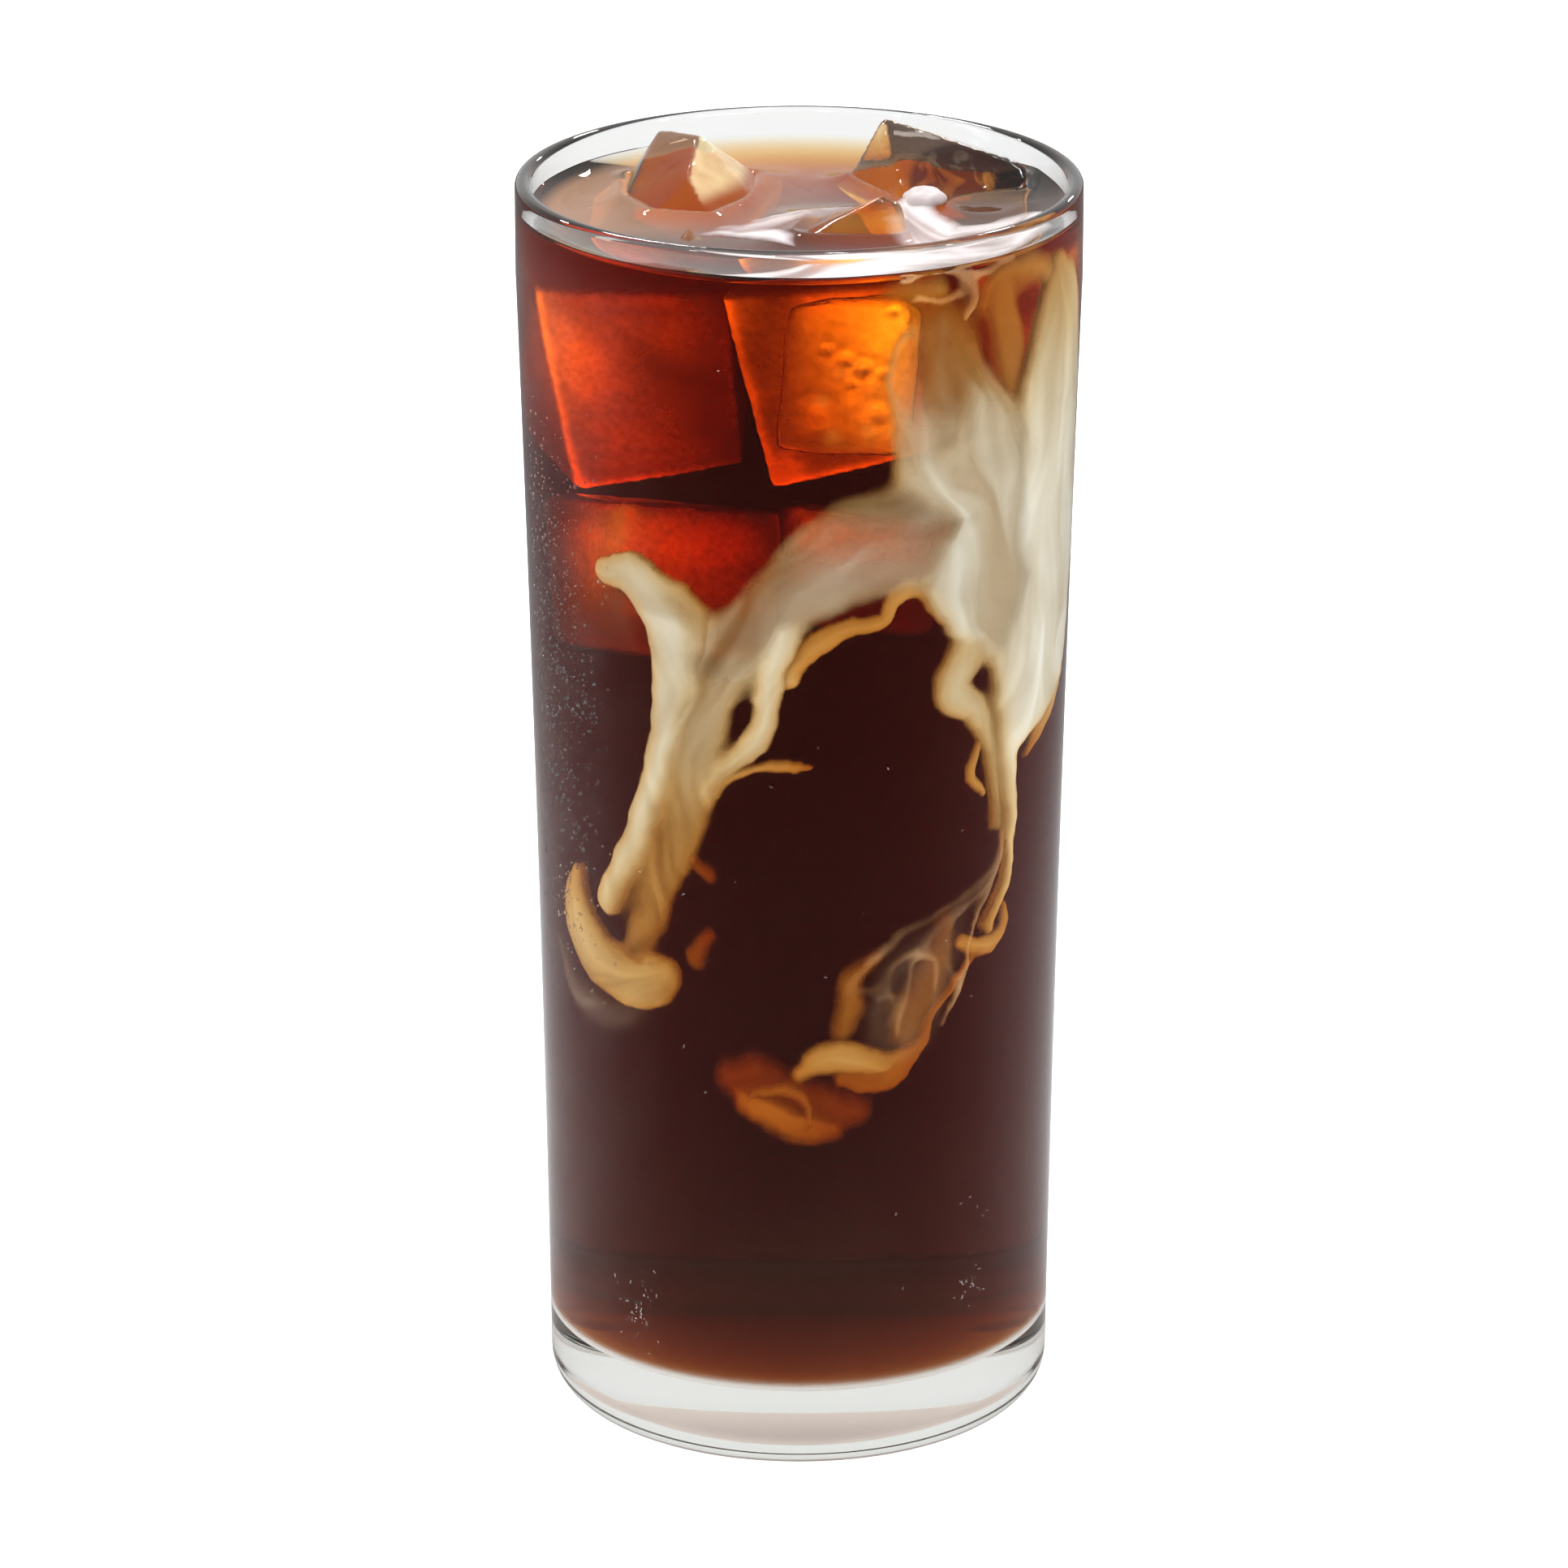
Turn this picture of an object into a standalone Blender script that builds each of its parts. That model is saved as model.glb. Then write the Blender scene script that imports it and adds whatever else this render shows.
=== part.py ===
"""A tall tumbler of cold brew coffee, with three ice cubes and a swirl of milk.

Metres, +Z up, the origin at the middle of the foot. Lengths are given in millimetres
and turned into metres by MM. -Y is the front, where the milk shows through the glass.
"""
import bmesh
import bpy
from math import cos, exp, pi, radians, sin
from mathutils import Vector

MM = 0.001

# ---------------------------------------------------------------- driving dimensions (mm)
HEIGHT = 150.0            # foot to lip
RIM_RADIUS = 32.8         # outside radius, from SHOULDER_Z up to the lip
FOOT_RADIUS = 29.74       # outside radius of the tapered side carried down to z = 0
SHOULDER_Z = 139.0        # above this the side is upright
TAPER_EVEN = 1.66         # how much of the taper is straight; the rest curves outwards
FOOT_CORNER = 5.0         # rounding between side and foot
FLAT_RING = 22.0          # the foot is flat outside this radius and hollowed inside it
FOOT_HOLLOW = 1.2         # depth of the hollow under the base
LIP_WALL = 1.8            # wall thickness at the lip
LOW_WALL = 2.2            # wall thickness at the floor
FLOOR_Z = 9.6             # top of the thick base
FLOOR_CORNER = 3.0        # rounding between the floor and the inner wall

LEVEL = 144.5             # flat surface of the coffee
MENISCUS = 2.3            # climb of the coffee at the wall
MENISCUS_REACH = 2.2      # distance over which the climb dies away
GAP = 0.3                 # clearance between pieces that touch
MILK_GAP = 0.5            # wider round the milk, whose notches are narrow

TURN_STEPS = 64           # sides of the turned pieces
WALL_RINGS = 6            # rings along a tapered wall

ICE_VOXEL = 0.7           # grid on which a cube is melted round
ICE_MELT = 5              # smoothing passes on a cube
ICE_FACES = 480           # triangles kept on a cube
MILK_VOXEL = 0.7
MILK_MELT = 4
MILK_FACES = 1800
MILK_THICK = 3.0          # the swirl is never thicker than this, however wide
FRONT_SKIN = 0.12         # a vertex this close to the coffee's side lies on it

# Corners of the ice cubes: the last few of each stand clear of the coffee.
ICE = {
    "ice_left": {
        "corners": [
            (-25.2, -2.6, 138.0), (-6.6, -5.6, 139.4), (-20.2, -2.6, 114.4), (-5.2, -6.6, 119.6),
            (-23.0, 14.0, 119.0), (-4.0, 15.5, 121.0), (-24.0, 15.5, 139.0), (-2.2, 19.8, 142.8),
            (-12.8, 4.6, 148.4), (-6.0, 9.5, 145.6), (-11.6, 14.2, 151.2), (-16.4, 18.6, 150.8),
        ],
        "hollows": [((-13.9, 20.5, 155.0), 5.3), ((-25.5, 12.0, 152.0), 8.2)],
    },
    "ice_mid": {
        "corners": [
            (-7.4, -12.6, 140.4), (10.0, -12.6, 141.6), (-2.6, -12.6, 118.0), (12.6, -12.6, 122.0),
            (0.0, 5.0, 120.0), (14.2, 3.8, 124.0), (-3.2, 4.0, 142.0), (12.0, 4.2, 143.6),
            (-0.8, -6.8, 144.6), (12.4, -7.6, 145.6), (9.6, -4.4, 149.0), (11.8, -3.6, 147.8),
        ],
        "hollows": [((4.2, -2.0, 152.6), 6.2)],
    },
    "ice_right": {
        "corners": [
            (13.0, 17.5, 124.0), (17.4, 0.4, 125.0), (25.4, -3.6, 126.0), (26.4, 10.4, 125.0),
            (16.2, -3.6, 141.0), (26.6, 1.0, 142.4), (4.4, 18.2, 142.8), (26.8, 13.6, 147.8),
            (10.4, 18.2, 153.4), (12.2, 7.0, 146.4), (24.6, 14.4, 148.6),
        ],
        "hollows": [((23.4, 2.6, 154.6), 9.4), ((1.2, 13.0, 152.0), 6.8)],
    },
}

# Strokes of milk on the unrolled wall: (along the wall, height, half width).
MILK = {
    "trunk": [(21.5, 139.0, 2.2), (20.8, 130.0, 5.2), (22.2, 118.0, 7.6), (24.0, 108.5, 8.2),
              (29.6, 100.0, 5.2), (30.2, 93.0, 3.7), (28.8, 87.0, 2.0), (29.1, 78.0, 1.4),
              (29.0, 69.0, 1.2), (28.0, 63.5, 1.4), (24.4, 61.6, 1.5)],
    "lobe": [(30.0, 139.5, 2.4), (34.8, 136.6, 2.8), (36.0, 129.0, 2.6), (34.6, 120.0, 3.0),
             (34.6, 108.5, 3.2), (32.6, 100.0, 3.2)],
    "arm": [(20.0, 118.0, 6.0), (13.7, 118.2, 6.2), (7.9, 115.0, 6.8), (1.4, 109.4, 6.0),
            (-5.0, 104.4, 4.8), (-10.4, 100.0, 4.2)],
    "antler": [(-26.2, 109.2, 1.6), (-21.9, 109.5, 2.5), (-17.3, 107.4, 3.3), (-14.6, 102.0, 3.0),
               (-14.6, 96.5, 2.8), (-16.4, 88.3, 2.1), (-18.1, 80.9, 1.9), (-22.5, 73.8, 1.9),
               (-25.5, 68.0, 1.6), (-27.5, 61.0, 1.6)],
    "ribbon": [(-9.0, 100.0, 4.2), (-10.6, 90.1, 3.6), (-13.4, 81.7, 2.5), (-16.8, 73.0, 2.6),
               (-20.6, 66.1, 2.2), (-23.5, 60.5, 1.6)],
    "shoot": [(-3.4, 101.0, 1.8), (-3.6, 94.6, 1.5), (-5.5, 90.1, 1.4), (-9.0, 86.4, 1.4)],
    "cap": [(-33.4, 67.2, 1.4), (-33.0, 61.5, 1.9), (-26.8, 58.4, 3.0), (-19.4, 59.1, 2.8)],
    "fin": [(22.6, 101.5, 1.6), (19.4, 95.6, 2.5), (22.6, 90.9, 1.6), (25.4, 83.1, 1.3),
            (26.7, 75.4, 1.4), (28.2, 72.0, 1.2)],
}

COLOURS = {               # linear colour, roughness, transmission
    "glass": ((0.90, 0.93, 0.92), 0.02, 1.0),
    "coffee": ((0.045, 0.014, 0.008), 0.05, 0.0),
    "ice": ((0.62, 0.30, 0.10), 0.12, 0.6),
    "milk": ((0.60, 0.46, 0.32), 0.35, 0.0),
}


# ---------------------------------------------------------------- the side of the tumbler
def outside(z):
    """Outside radius at height z."""
    t = min(z / SHOULDER_Z, 1.0)
    curve = RIM_RADIUS - FOOT_RADIUS - TAPER_EVEN
    return FOOT_RADIUS + TAPER_EVEN * t + curve * t * t


def inside(z):
    """Inside radius at height z."""
    t = min(max((HEIGHT - z) / (HEIGHT - FLOOR_Z), 0.0), 1.0)
    return outside(z) - LIP_WALL - (LOW_WALL - LIP_WALL) * t


def drink(z):
    """Radius of the coffee at height z."""
    return inside(z) - GAP


def arc(centre, radius, start, end, steps):
    """Points of an arc in the profile plane, angles in degrees from +X."""
    turn = [radians(start + (end - start) * i / steps) for i in range(steps + 1)]
    return [(centre[0] + radius * cos(a), centre[1] + radius * sin(a)) for a in turn]


def spaced(start, end, count):
    return [start + (end - start) * i / (count - 1) for i in range(count)]


# ---------------------------------------------------------------- objects and materials
def clear_scene():
    for thing in list(bpy.data.objects):
        bpy.data.objects.remove(thing, do_unlink=True)


def new_collection(name):
    group = bpy.data.collections.new(name)
    bpy.context.scene.collection.children.link(group)
    return group


def new_material(name):
    colour, roughness, transmission = COLOURS[name]
    made = bpy.data.materials.new(name)
    made.use_nodes = True
    shader = made.node_tree.nodes["Principled BSDF"]
    shader.inputs["Base Color"].default_value = (*colour, 1.0)
    shader.inputs["Roughness"].default_value = roughness
    shader.inputs["Metallic"].default_value = 0.0
    shader.inputs["Transmission Weight"].default_value = transmission
    return made


def add_object(name, data, group):
    made = bpy.data.objects.new(name, data)
    group.objects.link(made)
    return made


def frozen(thing):
    """A new mesh of what the modifiers or the curve of an object give."""
    graph = bpy.context.evaluated_depsgraph_get()
    return bpy.data.meshes.new_from_object(thing.evaluated_get(graph), depsgraph=graph)


def replace_by_mesh(thing, group, name):
    """The object as plain mesh under a new name; the object it came from is removed."""
    mesh = frozen(thing)
    bpy.data.objects.remove(thing, do_unlink=True)
    mesh.name = name
    return add_object(name, mesh, group)


def turned(name, profile, group):
    """A profile (radius, height) in mm, turned about Z."""
    mesh = bpy.data.meshes.new(name)
    points = [(r * MM, 0.0, z * MM) for r, z in profile]
    edges = [(i, i + 1) for i in range(len(points) - 1)]
    mesh.from_pydata(points, edges, [])
    made = add_object(name, mesh, group)
    screw = made.modifiers.new("turn", "SCREW")
    screw.axis = "Z"
    screw.angle = 2 * pi
    screw.steps = TURN_STEPS
    screw.render_steps = TURN_STEPS
    screw.use_merge_vertices = True
    screw.merge_threshold = 0.00001
    screw.use_smooth_shade = True
    return made


def melt(thing, voxel, passes):
    """Rounds a rough solid off on a grid."""
    grid = thing.modifiers.new("grid", "REMESH")
    grid.mode = "VOXEL"
    grid.voxel_size = voxel * MM
    soft = thing.modifiers.new("soft", "SMOOTH")
    soft.factor = 0.5
    soft.iterations = passes


def thin_out(thing, triangles):
    """Keeps about so many triangles of a fine mesh."""
    split = thing.modifiers.new("split", "TRIANGULATE")
    split.min_vertices = 4
    count = len(frozen(thing).polygons)
    thin = thing.modifiers.new("thin", "DECIMATE")
    thin.ratio = min(1.0, triangles / count)


# ---------------------------------------------------------------- glass and coffee
def glass_profile():
    floor = arc((inside(FLOOR_Z + FLOOR_CORNER) - FLOOR_CORNER, FLOOR_Z + FLOOR_CORNER),
                FLOOR_CORNER, -90, 0, 3)
    lip_radius = LIP_WALL / 2
    lip_z = HEIGHT - lip_radius
    inner = [(inside(z), z) for z in spaced(FLOOR_Z + FLOOR_CORNER, SHOULDER_Z, WALL_RINGS)]
    lip = arc((RIM_RADIUS - lip_radius, lip_z), lip_radius, 180, 0, 6)
    outer = [(outside(z), z) for z in spaced(SHOULDER_Z, FOOT_CORNER, WALL_RINGS)]
    foot = arc((outside(FOOT_CORNER) - FOOT_CORNER, FOOT_CORNER), FOOT_CORNER, 0, -90, 4)
    hollow = [(FLAT_RING, 0.0), (FLAT_RING - 1.5, 0.75 * FOOT_HOLLOW), (0.5 * FLAT_RING, FOOT_HOLLOW)]
    return ([(0.0, FLOOR_Z)] + floor + inner[1:] + lip + outer + foot[1:]
            + hollow + [(0.0, FOOT_HOLLOW)])


def surface(radius):
    """Height of the open coffee surface at a radius."""
    return LEVEL + MENISCUS * exp(-(drink(LEVEL) - radius) / MENISCUS_REACH)


def coffee_profile():
    top = [(drink(LEVEL) - off, surface(drink(LEVEL) - off)) for off in (7.0, 3.5, 1.6, 0.6, 0.0)]
    bottom_z = FLOOR_Z + GAP
    corner_z = bottom_z + FLOOR_CORNER
    side = [(drink(z), z) for z in spaced(SHOULDER_Z, corner_z, WALL_RINGS)]
    corner = arc((drink(corner_z) - FLOOR_CORNER, corner_z), FLOOR_CORNER, 0, -90, 3)
    return [(0.0, LEVEL)] + top + side + corner[1:] + [(0.0, bottom_z)]


# ---------------------------------------------------------------- ice
def block(name, corners, group):
    """The hull of a cube's corners."""
    shape = bmesh.new()
    points = [shape.verts.new(Vector(c) * MM) for c in corners]
    result = bmesh.ops.convex_hull(shape, input=points)
    loose = {e for e in result["geom_interior"] + result["geom_unused"]}
    bmesh.ops.delete(shape, geom=[e for e in loose if isinstance(e, bmesh.types.BMVert)],
                     context="VERTS")
    bmesh.ops.recalc_face_normals(shape, faces=shape.faces)
    mesh = bpy.data.meshes.new(name)
    shape.to_mesh(mesh)
    shape.free()
    return add_object(name, mesh, group)


def ball(name, centre, radius, group):
    shape = bmesh.new()
    bmesh.ops.create_uvsphere(shape, u_segments=24, v_segments=12, radius=radius * MM)
    mesh = bpy.data.meshes.new(name)
    shape.to_mesh(mesh)
    shape.free()
    made = add_object(name, mesh, group)
    made.location = Vector(centre) * MM
    return made


def cut(thing, cutter):
    """Takes the cutter's shape out of an object."""
    cutter.hide_render = True
    cutter.display_type = "WIRE"
    boolean = thing.modifiers.new("cut " + cutter.name, "BOOLEAN")
    boolean.operation = "DIFFERENCE"
    boolean.solver = "EXACT"
    boolean.use_self = True
    boolean.object = cutter


def ice_cube(name, corners, hollows, group, cutters):
    """A cube with its melted hollows, rounded off."""
    rough = block(name + " rough", corners, group)
    for i, (centre, radius) in enumerate(hollows):
        cut(rough, ball(f"{name} hollow {i}", centre, radius, cutters))
    bpy.context.view_layer.update()
    melt(rough, ICE_VOXEL, ICE_MELT)
    thin_out(rough, ICE_FACES)
    return replace_by_mesh(rough, group, name)


# ---------------------------------------------------------------- milk
def stroke(name, points, group):
    """One stroke of the swirl, as a tube on the unrolled wall."""
    curve = bpy.data.curves.new(name, "CURVE")
    curve.dimensions = "3D"
    curve.bevel_depth = MM
    curve.bevel_resolution = 3
    curve.use_fill_caps = True
    line = curve.splines.new("BEZIER")
    line.resolution_u = 5
    line.bezier_points.add(len(points) - 1)
    for knot, (along, height, half_width) in zip(line.bezier_points, points):
        knot.co = (along * MM, 0.0, height * MM)
        knot.handle_left_type = "AUTO"
        knot.handle_right_type = "AUTO"
        knot.radius = half_width
    tube = replace_by_mesh(add_object(name + " curve", curve, group), group, name)
    shape = bmesh.new()
    shape.from_mesh(tube.data)
    bmesh.ops.remove_doubles(shape, verts=shape.verts, dist=0.000001)
    shape.to_mesh(tube.data)
    shape.free()
    return tube


def squeezed(depth):
    """Depth behind the wall of a point of a tube: wide strokes are flattened most."""
    return MILK_THICK * (1.0 - exp(-max(depth, 0.0) / MILK_THICK))


def wrap(mesh):
    """Bends the unrolled swirl round the coffee."""
    for vert in mesh.vertices:
        along, depth, height = (c / MM for c in vert.co)
        radius = drink(height) - squeezed(depth)
        angle = along / inside(height)
        vert.co = Vector((radius * sin(angle), -radius * cos(angle), height)) * MM


def inflate(mesh, distance):
    """Moves every vertex out along its normal."""
    moves = [vert.co + vert.normal * distance * MM for vert in mesh.vertices]
    for vert, place in zip(mesh.vertices, moves):
        vert.co = place


def open_front(mesh, before):
    """Pushes what lay on the coffee's side out through it, so the room is open there."""
    for vert, old in zip(mesh.vertices, before):
        height = old.z / MM
        if old.xy.length / MM > drink(height) - FRONT_SKIN:
            vert.co.xy = vert.co.xy.normalized() * (drink(height) + 3 * GAP) * MM


def joined(name, parts, group):
    """Several meshes in one object; the objects they came from are removed."""
    shape = bmesh.new()
    for part in parts:
        shape.from_mesh(part.data)
        bpy.data.objects.remove(part, do_unlink=True)
    mesh = bpy.data.meshes.new(name)
    shape.to_mesh(mesh)
    shape.free()
    return add_object(name, mesh, group)


def milk_swirl(name, group, cutters):
    """The swirl, and the cutter that makes room for it in the coffee."""
    strokes = [stroke(key, points, group) for key, points in MILK.items()]
    rough = joined(name + " rough", strokes, group)
    melt(rough, MILK_VOXEL, 0)
    tubes = replace_by_mesh(rough, group, name + " tubes")
    for vert in tubes.data.vertices:
        vert.co.y = max(vert.co.y, 0.0)
    melt(tubes, MILK_VOXEL, MILK_MELT)
    swirl = replace_by_mesh(tubes, group, name)
    wrap(swirl.data)
    room = room_for(swirl, MILK_GAP, cutters)
    open_front(room.data, [vert.co.copy() for vert in swirl.data.vertices])
    melt(room, MILK_VOXEL, 0)
    made = []
    for rough, home in ((swirl, group), (room, cutters)):
        thin_out(rough, MILK_FACES)
        made.append(replace_by_mesh(rough, home, rough.name))
    return made


def room_for(thing, gap, cutters):
    """A cutter that is a piece with its clearance."""
    mesh = thing.data.copy()
    inflate(mesh, gap)
    return add_object(thing.name + " room", mesh, cutters)


def drop_scraps(mesh):
    """Keeps the largest loose piece of a mesh, by its number of vertices."""
    shape = bmesh.new()
    shape.from_mesh(mesh)
    left = set(shape.verts)
    pieces = []
    while left:
        piece = set()
        edge = [next(iter(left))]
        while edge:
            vert = edge.pop()
            if vert in piece:
                continue
            piece.add(vert)
            edge.extend(e.other_vert(vert) for e in vert.link_edges)
        left -= piece
        pieces.append(piece)
    scraps = [v for piece in sorted(pieces, key=len)[:-1] for v in piece]
    bmesh.ops.delete(shape, geom=scraps, context="VERTS")
    shape.to_mesh(mesh)
    shape.free()


# ---------------------------------------------------------------- the drink
def main():
    clear_scene()
    group = new_collection("cold_brew_coffee")
    cutters = new_collection("cutters")
    glass = turned("glass", glass_profile(), group)
    cubes = [ice_cube(name, cube["corners"], cube["hollows"], group, cutters)
             for name, cube in ICE.items()]
    swirl, swirl_room = milk_swirl("milk_swirl", group, cutters)
    uncut = turned("coffee uncut", coffee_profile(), group)
    for cutter in [room_for(cube, GAP, cutters) for cube in cubes] + [swirl_room]:
        cut(uncut, cutter)
    coffee = replace_by_mesh(uncut, group, "coffee")
    drop_scraps(coffee.data)
    finish = {name: new_material(name) for name in COLOURS}
    looks = [(glass, "glass"), (coffee, "coffee"), (swirl, "milk")] + [(c, "ice") for c in cubes]
    for thing, look in looks:
        thing.data.materials.clear()
        thing.data.materials.append(finish[look])
    for thing in cubes + [swirl]:
        thing.data.shade_smooth()


main()
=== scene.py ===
"""The looks of a glass of cold brew coffee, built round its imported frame.

Metres, +Z up, the origin at the middle of the foot, -Y the front. Lengths are written in
millimetres and turned into metres by MM. The sizes of glass, drink, ice and milk are the
CAD model's own, made finer here.
"""
from math import cos, exp, pi, radians, sin

import bmesh
import bpy
import numpy as np
from mathutils import Matrix, Vector
from mathutils.bvhtree import BVHTree
from mathutils.noise import fractal


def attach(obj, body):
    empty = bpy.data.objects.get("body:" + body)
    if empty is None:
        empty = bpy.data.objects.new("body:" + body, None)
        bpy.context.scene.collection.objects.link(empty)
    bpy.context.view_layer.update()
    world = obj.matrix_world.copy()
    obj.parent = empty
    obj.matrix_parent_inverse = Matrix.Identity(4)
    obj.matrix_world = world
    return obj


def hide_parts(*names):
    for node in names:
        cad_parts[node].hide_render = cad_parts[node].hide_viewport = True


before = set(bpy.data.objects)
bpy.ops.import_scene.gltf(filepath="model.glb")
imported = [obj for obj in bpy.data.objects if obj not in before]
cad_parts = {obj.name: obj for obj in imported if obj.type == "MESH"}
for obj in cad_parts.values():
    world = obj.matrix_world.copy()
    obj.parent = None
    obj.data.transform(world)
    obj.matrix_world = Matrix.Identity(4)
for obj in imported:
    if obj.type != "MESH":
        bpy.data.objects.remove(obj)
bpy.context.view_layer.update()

MM = 0.001

# ---------------------------------------------------------------- sizes shared with the CAD (mm)
HEIGHT = 150.0
RIM_RADIUS = 32.8
FOOT_RADIUS = 29.74
SHOULDER_Z = 139.0        # above it the outside is upright
TAPER_EVEN = 1.66         # the even part of the widening; the rest grows with height
FOOT_CORNER = 5.0
FLAT_RING = 22.0          # inner radius of the ring it stands on
FOOT_HOLLOW = 1.2
LIP_WALL = 1.8            # thickness of the wall at the lip
LOW_WALL = 2.2            # and at the floor
FLOOR_Z = 9.6
FLOOR_CORNER = 3.0
LEVEL = 144.5             # of the drink
MENISCUS = 2.3            # its climb at the wall
MENISCUS_REACH = 3.0
MILK_THICK = 3.0
WET_TOP = LEVEL + MENISCUS

# Ice that breaks the surface: the corners of each hull, and balls (middle, radius) cut out of it.
ICE = {
    "ice_left": {
        "corners": [
            (-25.2, -2.6, 138.0), (-6.6, -5.6, 139.4), (-20.2, -2.6, 114.4), (-5.2, -6.6, 119.6),
            (-23.0, 14.0, 119.0), (-4.0, 15.5, 121.0), (-24.0, 15.5, 139.0), (-2.2, 19.8, 142.8),
            (-12.8, 4.6, 148.4), (-6.0, 9.5, 145.6), (-11.6, 14.2, 151.2), (-16.4, 18.6, 150.8),
        ],
        "hollows": [((-13.9, 20.5, 155.0), 5.3), ((-25.5, 12.0, 152.0), 8.2)],
    },
    "ice_mid": {
        "corners": [
            (-7.4, -12.6, 140.4), (10.0, -12.6, 141.6), (-2.6, -12.6, 118.0), (12.6, -12.6, 122.0),
            (0.0, 5.0, 120.0), (14.2, 3.8, 124.0), (-3.2, 4.0, 142.0), (12.0, 4.2, 143.6),
            (-0.8, -6.8, 144.6), (12.4, -7.6, 145.6), (9.6, -4.4, 149.0), (11.8, -3.6, 147.8),
        ],
        "hollows": [((4.2, -2.0, 152.6), 6.2)],
    },
    "ice_right": {
        "corners": [
            (13.0, 17.5, 124.0), (17.4, 0.4, 125.0), (25.4, -3.6, 126.0), (26.4, 10.4, 125.0),
            (16.2, -3.6, 141.0), (26.6, 1.0, 142.4), (4.4, 18.2, 142.8), (26.8, 13.6, 147.8),
            (9.8, 18.2, 152.5), (12.2, 7.0, 146.4), (24.6, 14.4, 148.6),
        ],
        "hollows": [((22.5, 2.8, 157.1), 14.0), ((1.2, 13.0, 152.0), 6.8)],
    },
}

# Ice that is wholly sunk: blocks given by middle, sides and lean (degrees about X, Y, Z).
SUNK_ICE = {
    "ice_sunk_low": ((-13.5, -8.7, 105.7), (19.0, 19.0, 19.0), (-12, 6, 20)),
    "ice_sunk_back": ((5.5, -6.5, 107.0), (16.0, 15.0, 15.0), (-10, 10, 8)),
    "ice_sunk_chip": ((4.2, -20.3, 133.5), (15.5, 11.0, 18.4), (0, 5, 12)),
}

WEDGES = {"ice_sunk_chip": 2.0}      # pieces that thin out to the left, and how thin they get

# Where light gathers in the ice below the drink: an even amount, then (from, to, reach, amount).
GLOW = {
    "ice_left": (.12, [
        ((-25.2, -2.6, 138.0), (-20.2, -2.6, 114.4), .7, .5),
        ((-21.8, -2.8, 134.4), (-19.8, -3.2, 129.0), 3.2, .38),
        ((-16.0, -4.2, 136.4), (-12.0, -4.8, 135.6), 3.6, .26),
        ((-19.5, -3.0, 128.0), (-16.0, -4.2, 120.0), 5.5, .24),
        ((-12.5, -4.8, 122.5), (-9.5, -5.4, 121.0), 3.5, .08),
        ((-20.2, -2.6, 114.8), (-12.0, -4.8, 117.2), .7, .28),
        ((-19.9, -2.6, 115.2), (-19.9, -2.6, 115.2), 1.2, .5),
        ((-25.2, -2.6, 137.6), (-12.0, -4.6, 138.4), .9, .2),
        ((-5.6, -6.2, 134.0), (-5.4, -6.4, 126.0), 1.6, .06)]),
    "ice_mid": (.30, [
        ((2.0, -12.6, 141.0), (9.6, -12.6, 141.4), 2.2, .6),
        ((9.0, -12.6, 139.0), (11.8, -12.6, 126.0), 4.2, .6),
        ((4.2, -12.6, 137.0), (6.4, -12.6, 128.0), 3.6, .2),
        ((-2.4, -12.6, 118.6), (-1.4, -12.6, 120.4), 1.8, .8),
        ((-2.4, -12.6, 118.4), (11.0, -12.6, 121.8), .9, .3),
        ((-7.0, -12.6, 139.6), (-2.6, -12.6, 119.0), .7, .35),
        ((-6.8, -12.6, 136.0), (-5.4, -12.6, 129.0), 1.4, .3),
        ((1.6, -12.6, 126.6), (1.6, -12.6, 126.6), 1.1, .8),
        ((7.4, -12.6, 126.4), (7.4, -12.6, 126.4), 1.0, .8)]),
    "ice_right": (.18, [((16.4, -3.0, 140.0), (26.0, 1.0, 141.0), 3.0, .3)]),
    "ice_sunk_low": (.01, [
        ((-19.0, -15.0, 113.5), (-8.5, -18.0, 114.5), 6.4, 1.0),
        ((-19.0, -15.0, 108.0), (-9.0, -17.0, 108.0), 6.5, .10),
        ((-21.0, -12.0, 108.0), (-20.0, -10.0, 103.0), 3.6, .16)]),
    "ice_sunk_back": (.02, [((-1.0, -13.0, 114.0), (9.0, -13.0, 114.0), 5.0, .6)]),
    "ice_sunk_chip": (.004, [
        ((10.8, -23.8, 143.0), (11.8, -23.8, 128.0), 2.6, .16),
        ((7.0, -25.4, 142.6), (10.4, -24.6, 142.6), 2.2, .16),
        ((9.4, -25.0, 138.0), (9.4, -25.0, 130.0), 2.6, .08),
        ((4.6, -26.0, 138.0), (6.4, -26.0, 131.0), 2.4, .012),
        ((4.0, -26.0, 125.0), (10.0, -24.6, 125.4), 1.4, .05),
        ((2.4, -26.4, 131.4), (2.4, -26.4, 131.4), .7, .26),
        ((3.6, -26.2, 127.2), (3.6, -26.2, 127.2), .9, .28),
        ((7.4, -25.4, 127.6), (7.4, -25.4, 127.6), .9, .30),
        ((9.8, -24.6, 127.2), (9.8, -24.6, 127.2), .8, .20),
        ((4.4, -26.2, 134.8), (6.6, -25.6, 135.4), .8, .22),
        ((3.6, -26.4, 137.4), (3.6, -26.4, 137.4), .5, .18)]),
}

# Above the drink: directions in which a cloudy facet looks, which is painted pale, and hollows
# (middle, radius) whose rims are painted dark, a painted reflection of the dark drink.
FACETS = {
    "ice_left": ([(.6, -.22, .77)], []),
    "ice_mid": ([], []),
    "ice_right": ([], [((22.5, 2.8, 157.1), 14.0)]),
}

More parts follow.
